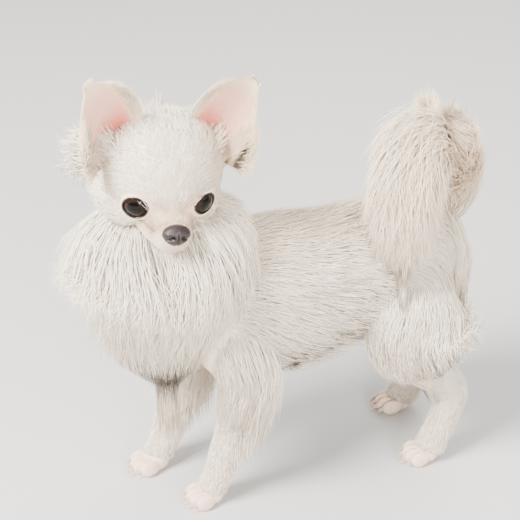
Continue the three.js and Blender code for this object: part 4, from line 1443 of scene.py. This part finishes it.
class ChihuahuaCoatPieces(bpy.types.Operator):
    """The coat: closed tapered tufts in patches, each rooted on its form and following its lie."""
    bl_idname = "chihuahua.coat"
    bl_label = "Coat"

    def execute(self, context):
        hair = hair_material()
        for cell, patch in enumerate(coat_patches()):
            random = np.random.default_rng(coat_sizes().seed + cell)
            grown = grow_piece(patch, cell, random)
            piece = mesh_object(patch["name"], to_row(grown["verts"]), [grown["faces"]])
            set_colour(piece.data, "tint", grown["tint"])
            bake_map(piece.data, grown["atlas"], grown["each"])
            if patch["slot"] != "ears":
                soft_normals(piece.data, grown["outer"], SOFTNESS)
            piece.data.materials.append(hair)
            settle(piece, patch["slot"])
        return {"FINISHED"}


# Stage

# Each light's name, size, power, where it stands and what it faces in metres, and its colour
LIGHTS = (
    ("Key light", 0.8, 165.0, (0.45, -1.35, 1.5), (0, 0, 0.12), (1.0, 0.97, 0.92)),
    ("Fill light", 1.4, 24.0, (1.6, 0.5, 1.0), (0, 0, 0.12), (1.0, 0.98, 0.96)),
    ("Back light", 1.2, 30.0, (-0.9, 0.9, 1.6), (0, 0, 0.15), (1, 1, 1)),
    ("Eye light", 0.3, 20.0, (1.5, -0.1, 0.5), (0, -0.06, 0.2), (1, 1, 1)),
)
SURROUND = (1.0, 0.98, 0.95, 1)
SURROUND_STRENGTH = 0.85
FLOOR_HALF = 6.0
FLOOR_COLOUR = (0.60, 0.59, 0.575, 1)


def light(name, size, power, place, target, tint):
    """A soft square light at a place that faces a target."""
    lamp = bpy.data.lights.new(name, "AREA")
    lamp.size = size
    lamp.energy = power
    lamp.color = tint
    holder = bpy.data.objects.new(name, lamp)
    bpy.context.scene.collection.objects.link(holder)
    holder.matrix_world = looking(np.array(place), np.array(target))


def looking(place, target):
    """The matrix of an object at a place whose -Z axis points at a target, with +Y up."""
    back = unit(place - target)
    right = unit(np.cross([0, 0, 1.0], back))
    up = np.cross(back, right)
    matrix = np.eye(4)
    matrix[:3, 0], matrix[:3, 1], matrix[:3, 2], matrix[:3, 3] = right, up, back, place
    return Matrix(matrix.tolist())


def place_camera():
    """The camera where the photograph was taken from, with the photograph's angle of view."""
    target = to_row(CAMERA_TARGET)
    level = np.cos(CAMERA_ELEVATION)
    back = np.array([np.sin(CAMERA_AZIMUTH) * level, -np.cos(CAMERA_AZIMUTH) * level,
                     np.sin(CAMERA_ELEVATION)])
    view = bpy.data.cameras.new("Camera")
    view.angle = CAMERA_VIEW
    view.clip_start = 0.01
    camera = bpy.data.objects.new("Camera", view)
    bpy.context.scene.collection.objects.link(camera)
    camera.matrix_world = looking(target + back * CAMERA_DISTANCE * MM, target)
    bpy.context.scene.camera = camera


def lay_floor():
    """A plain pale square that the dog stands on."""
    corners = FLOOR_HALF * np.array([(-1, -1, 0), (1, -1, 0), (1, 1, 0), (-1, 1, 0)])
    floor = mesh_object("floor", corners, [np.array([[0, 1, 2, 3]])])
    material, _, _, shader = new_material("Pale floor")
    shader.inputs["Base Color"].default_value = FLOOR_COLOUR
    shader.inputs["Roughness"].default_value = 0.9
    floor.data.materials.append(material)


def soft_surround():
    """Even, slightly warm light from all round."""
    world = bpy.data.worlds.new("Soft surround")
    world.use_nodes = True
    background = world.node_tree.nodes["Background"]
    background.inputs["Color"].default_value = SURROUND
    background.inputs["Strength"].default_value = SURROUND_STRENGTH
    bpy.context.scene.world = world


class ChihuahuaStage(bpy.types.Operator):
    """The camera of the photograph, a pale floor and plain soft light."""
    bl_idname = "chihuahua.stage"
    bl_label = "Stage"

    def execute(self, context):
        place_camera()
        lay_floor()
        for setting in LIGHTS:
            light(*setting)
        soft_surround()
        return {"FINISHED"}


class ChihuahuaPanel(bpy.types.Panel):
    """Lists the pieces and their settings."""
    bl_idname = "VIEW3D_PT_chihuahua"
    bl_label = "Chihuahua"
    bl_space_type = "VIEW_3D"
    bl_region_type = "UI"
    bl_category = "Chihuahua"

    def draw(self, context):
        layout = self.layout
        for operator in OPERATORS:
            layout.operator(operator.bl_idname)
        for group in (colours(), coat_sizes()):
            for name in group.__annotations__:
                layout.prop(group, name)


GROUPS = (ChihuahuaColours, ChihuahuaCoat)
OPERATORS = (ChihuahuaStage, ChihuahuaSkin, ChihuahuaEars, ChihuahuaEyes, ChihuahuaNose, ChihuahuaClaws,
             ChihuahuaWhiskers, ChihuahuaCoatPieces)


def register():
    """Blender learns the classes and the scene's settings."""
    for kind in (*GROUPS, *OPERATORS, ChihuahuaPanel):
        bpy.utils.register_class(kind)
    bpy.types.Scene.chihuahua_colours = bpy.props.PointerProperty(type=ChihuahuaColours)
    bpy.types.Scene.chihuahua_coat = bpy.props.PointerProperty(type=ChihuahuaCoat)


def unregister():
    """Blender forgets them again."""
    del bpy.types.Scene.chihuahua_coat
    del bpy.types.Scene.chihuahua_colours
    for kind in reversed((*GROUPS, *OPERATORS, ChihuahuaPanel)):
        bpy.utils.unregister_class(kind)


def main():
    """Builds the dog."""
    register()
    for kind in OPERATORS:
        group, call = kind.bl_idname.split(".")
        getattr(getattr(bpy.ops, group), call)()


if __name__ == "__main__":
    main()
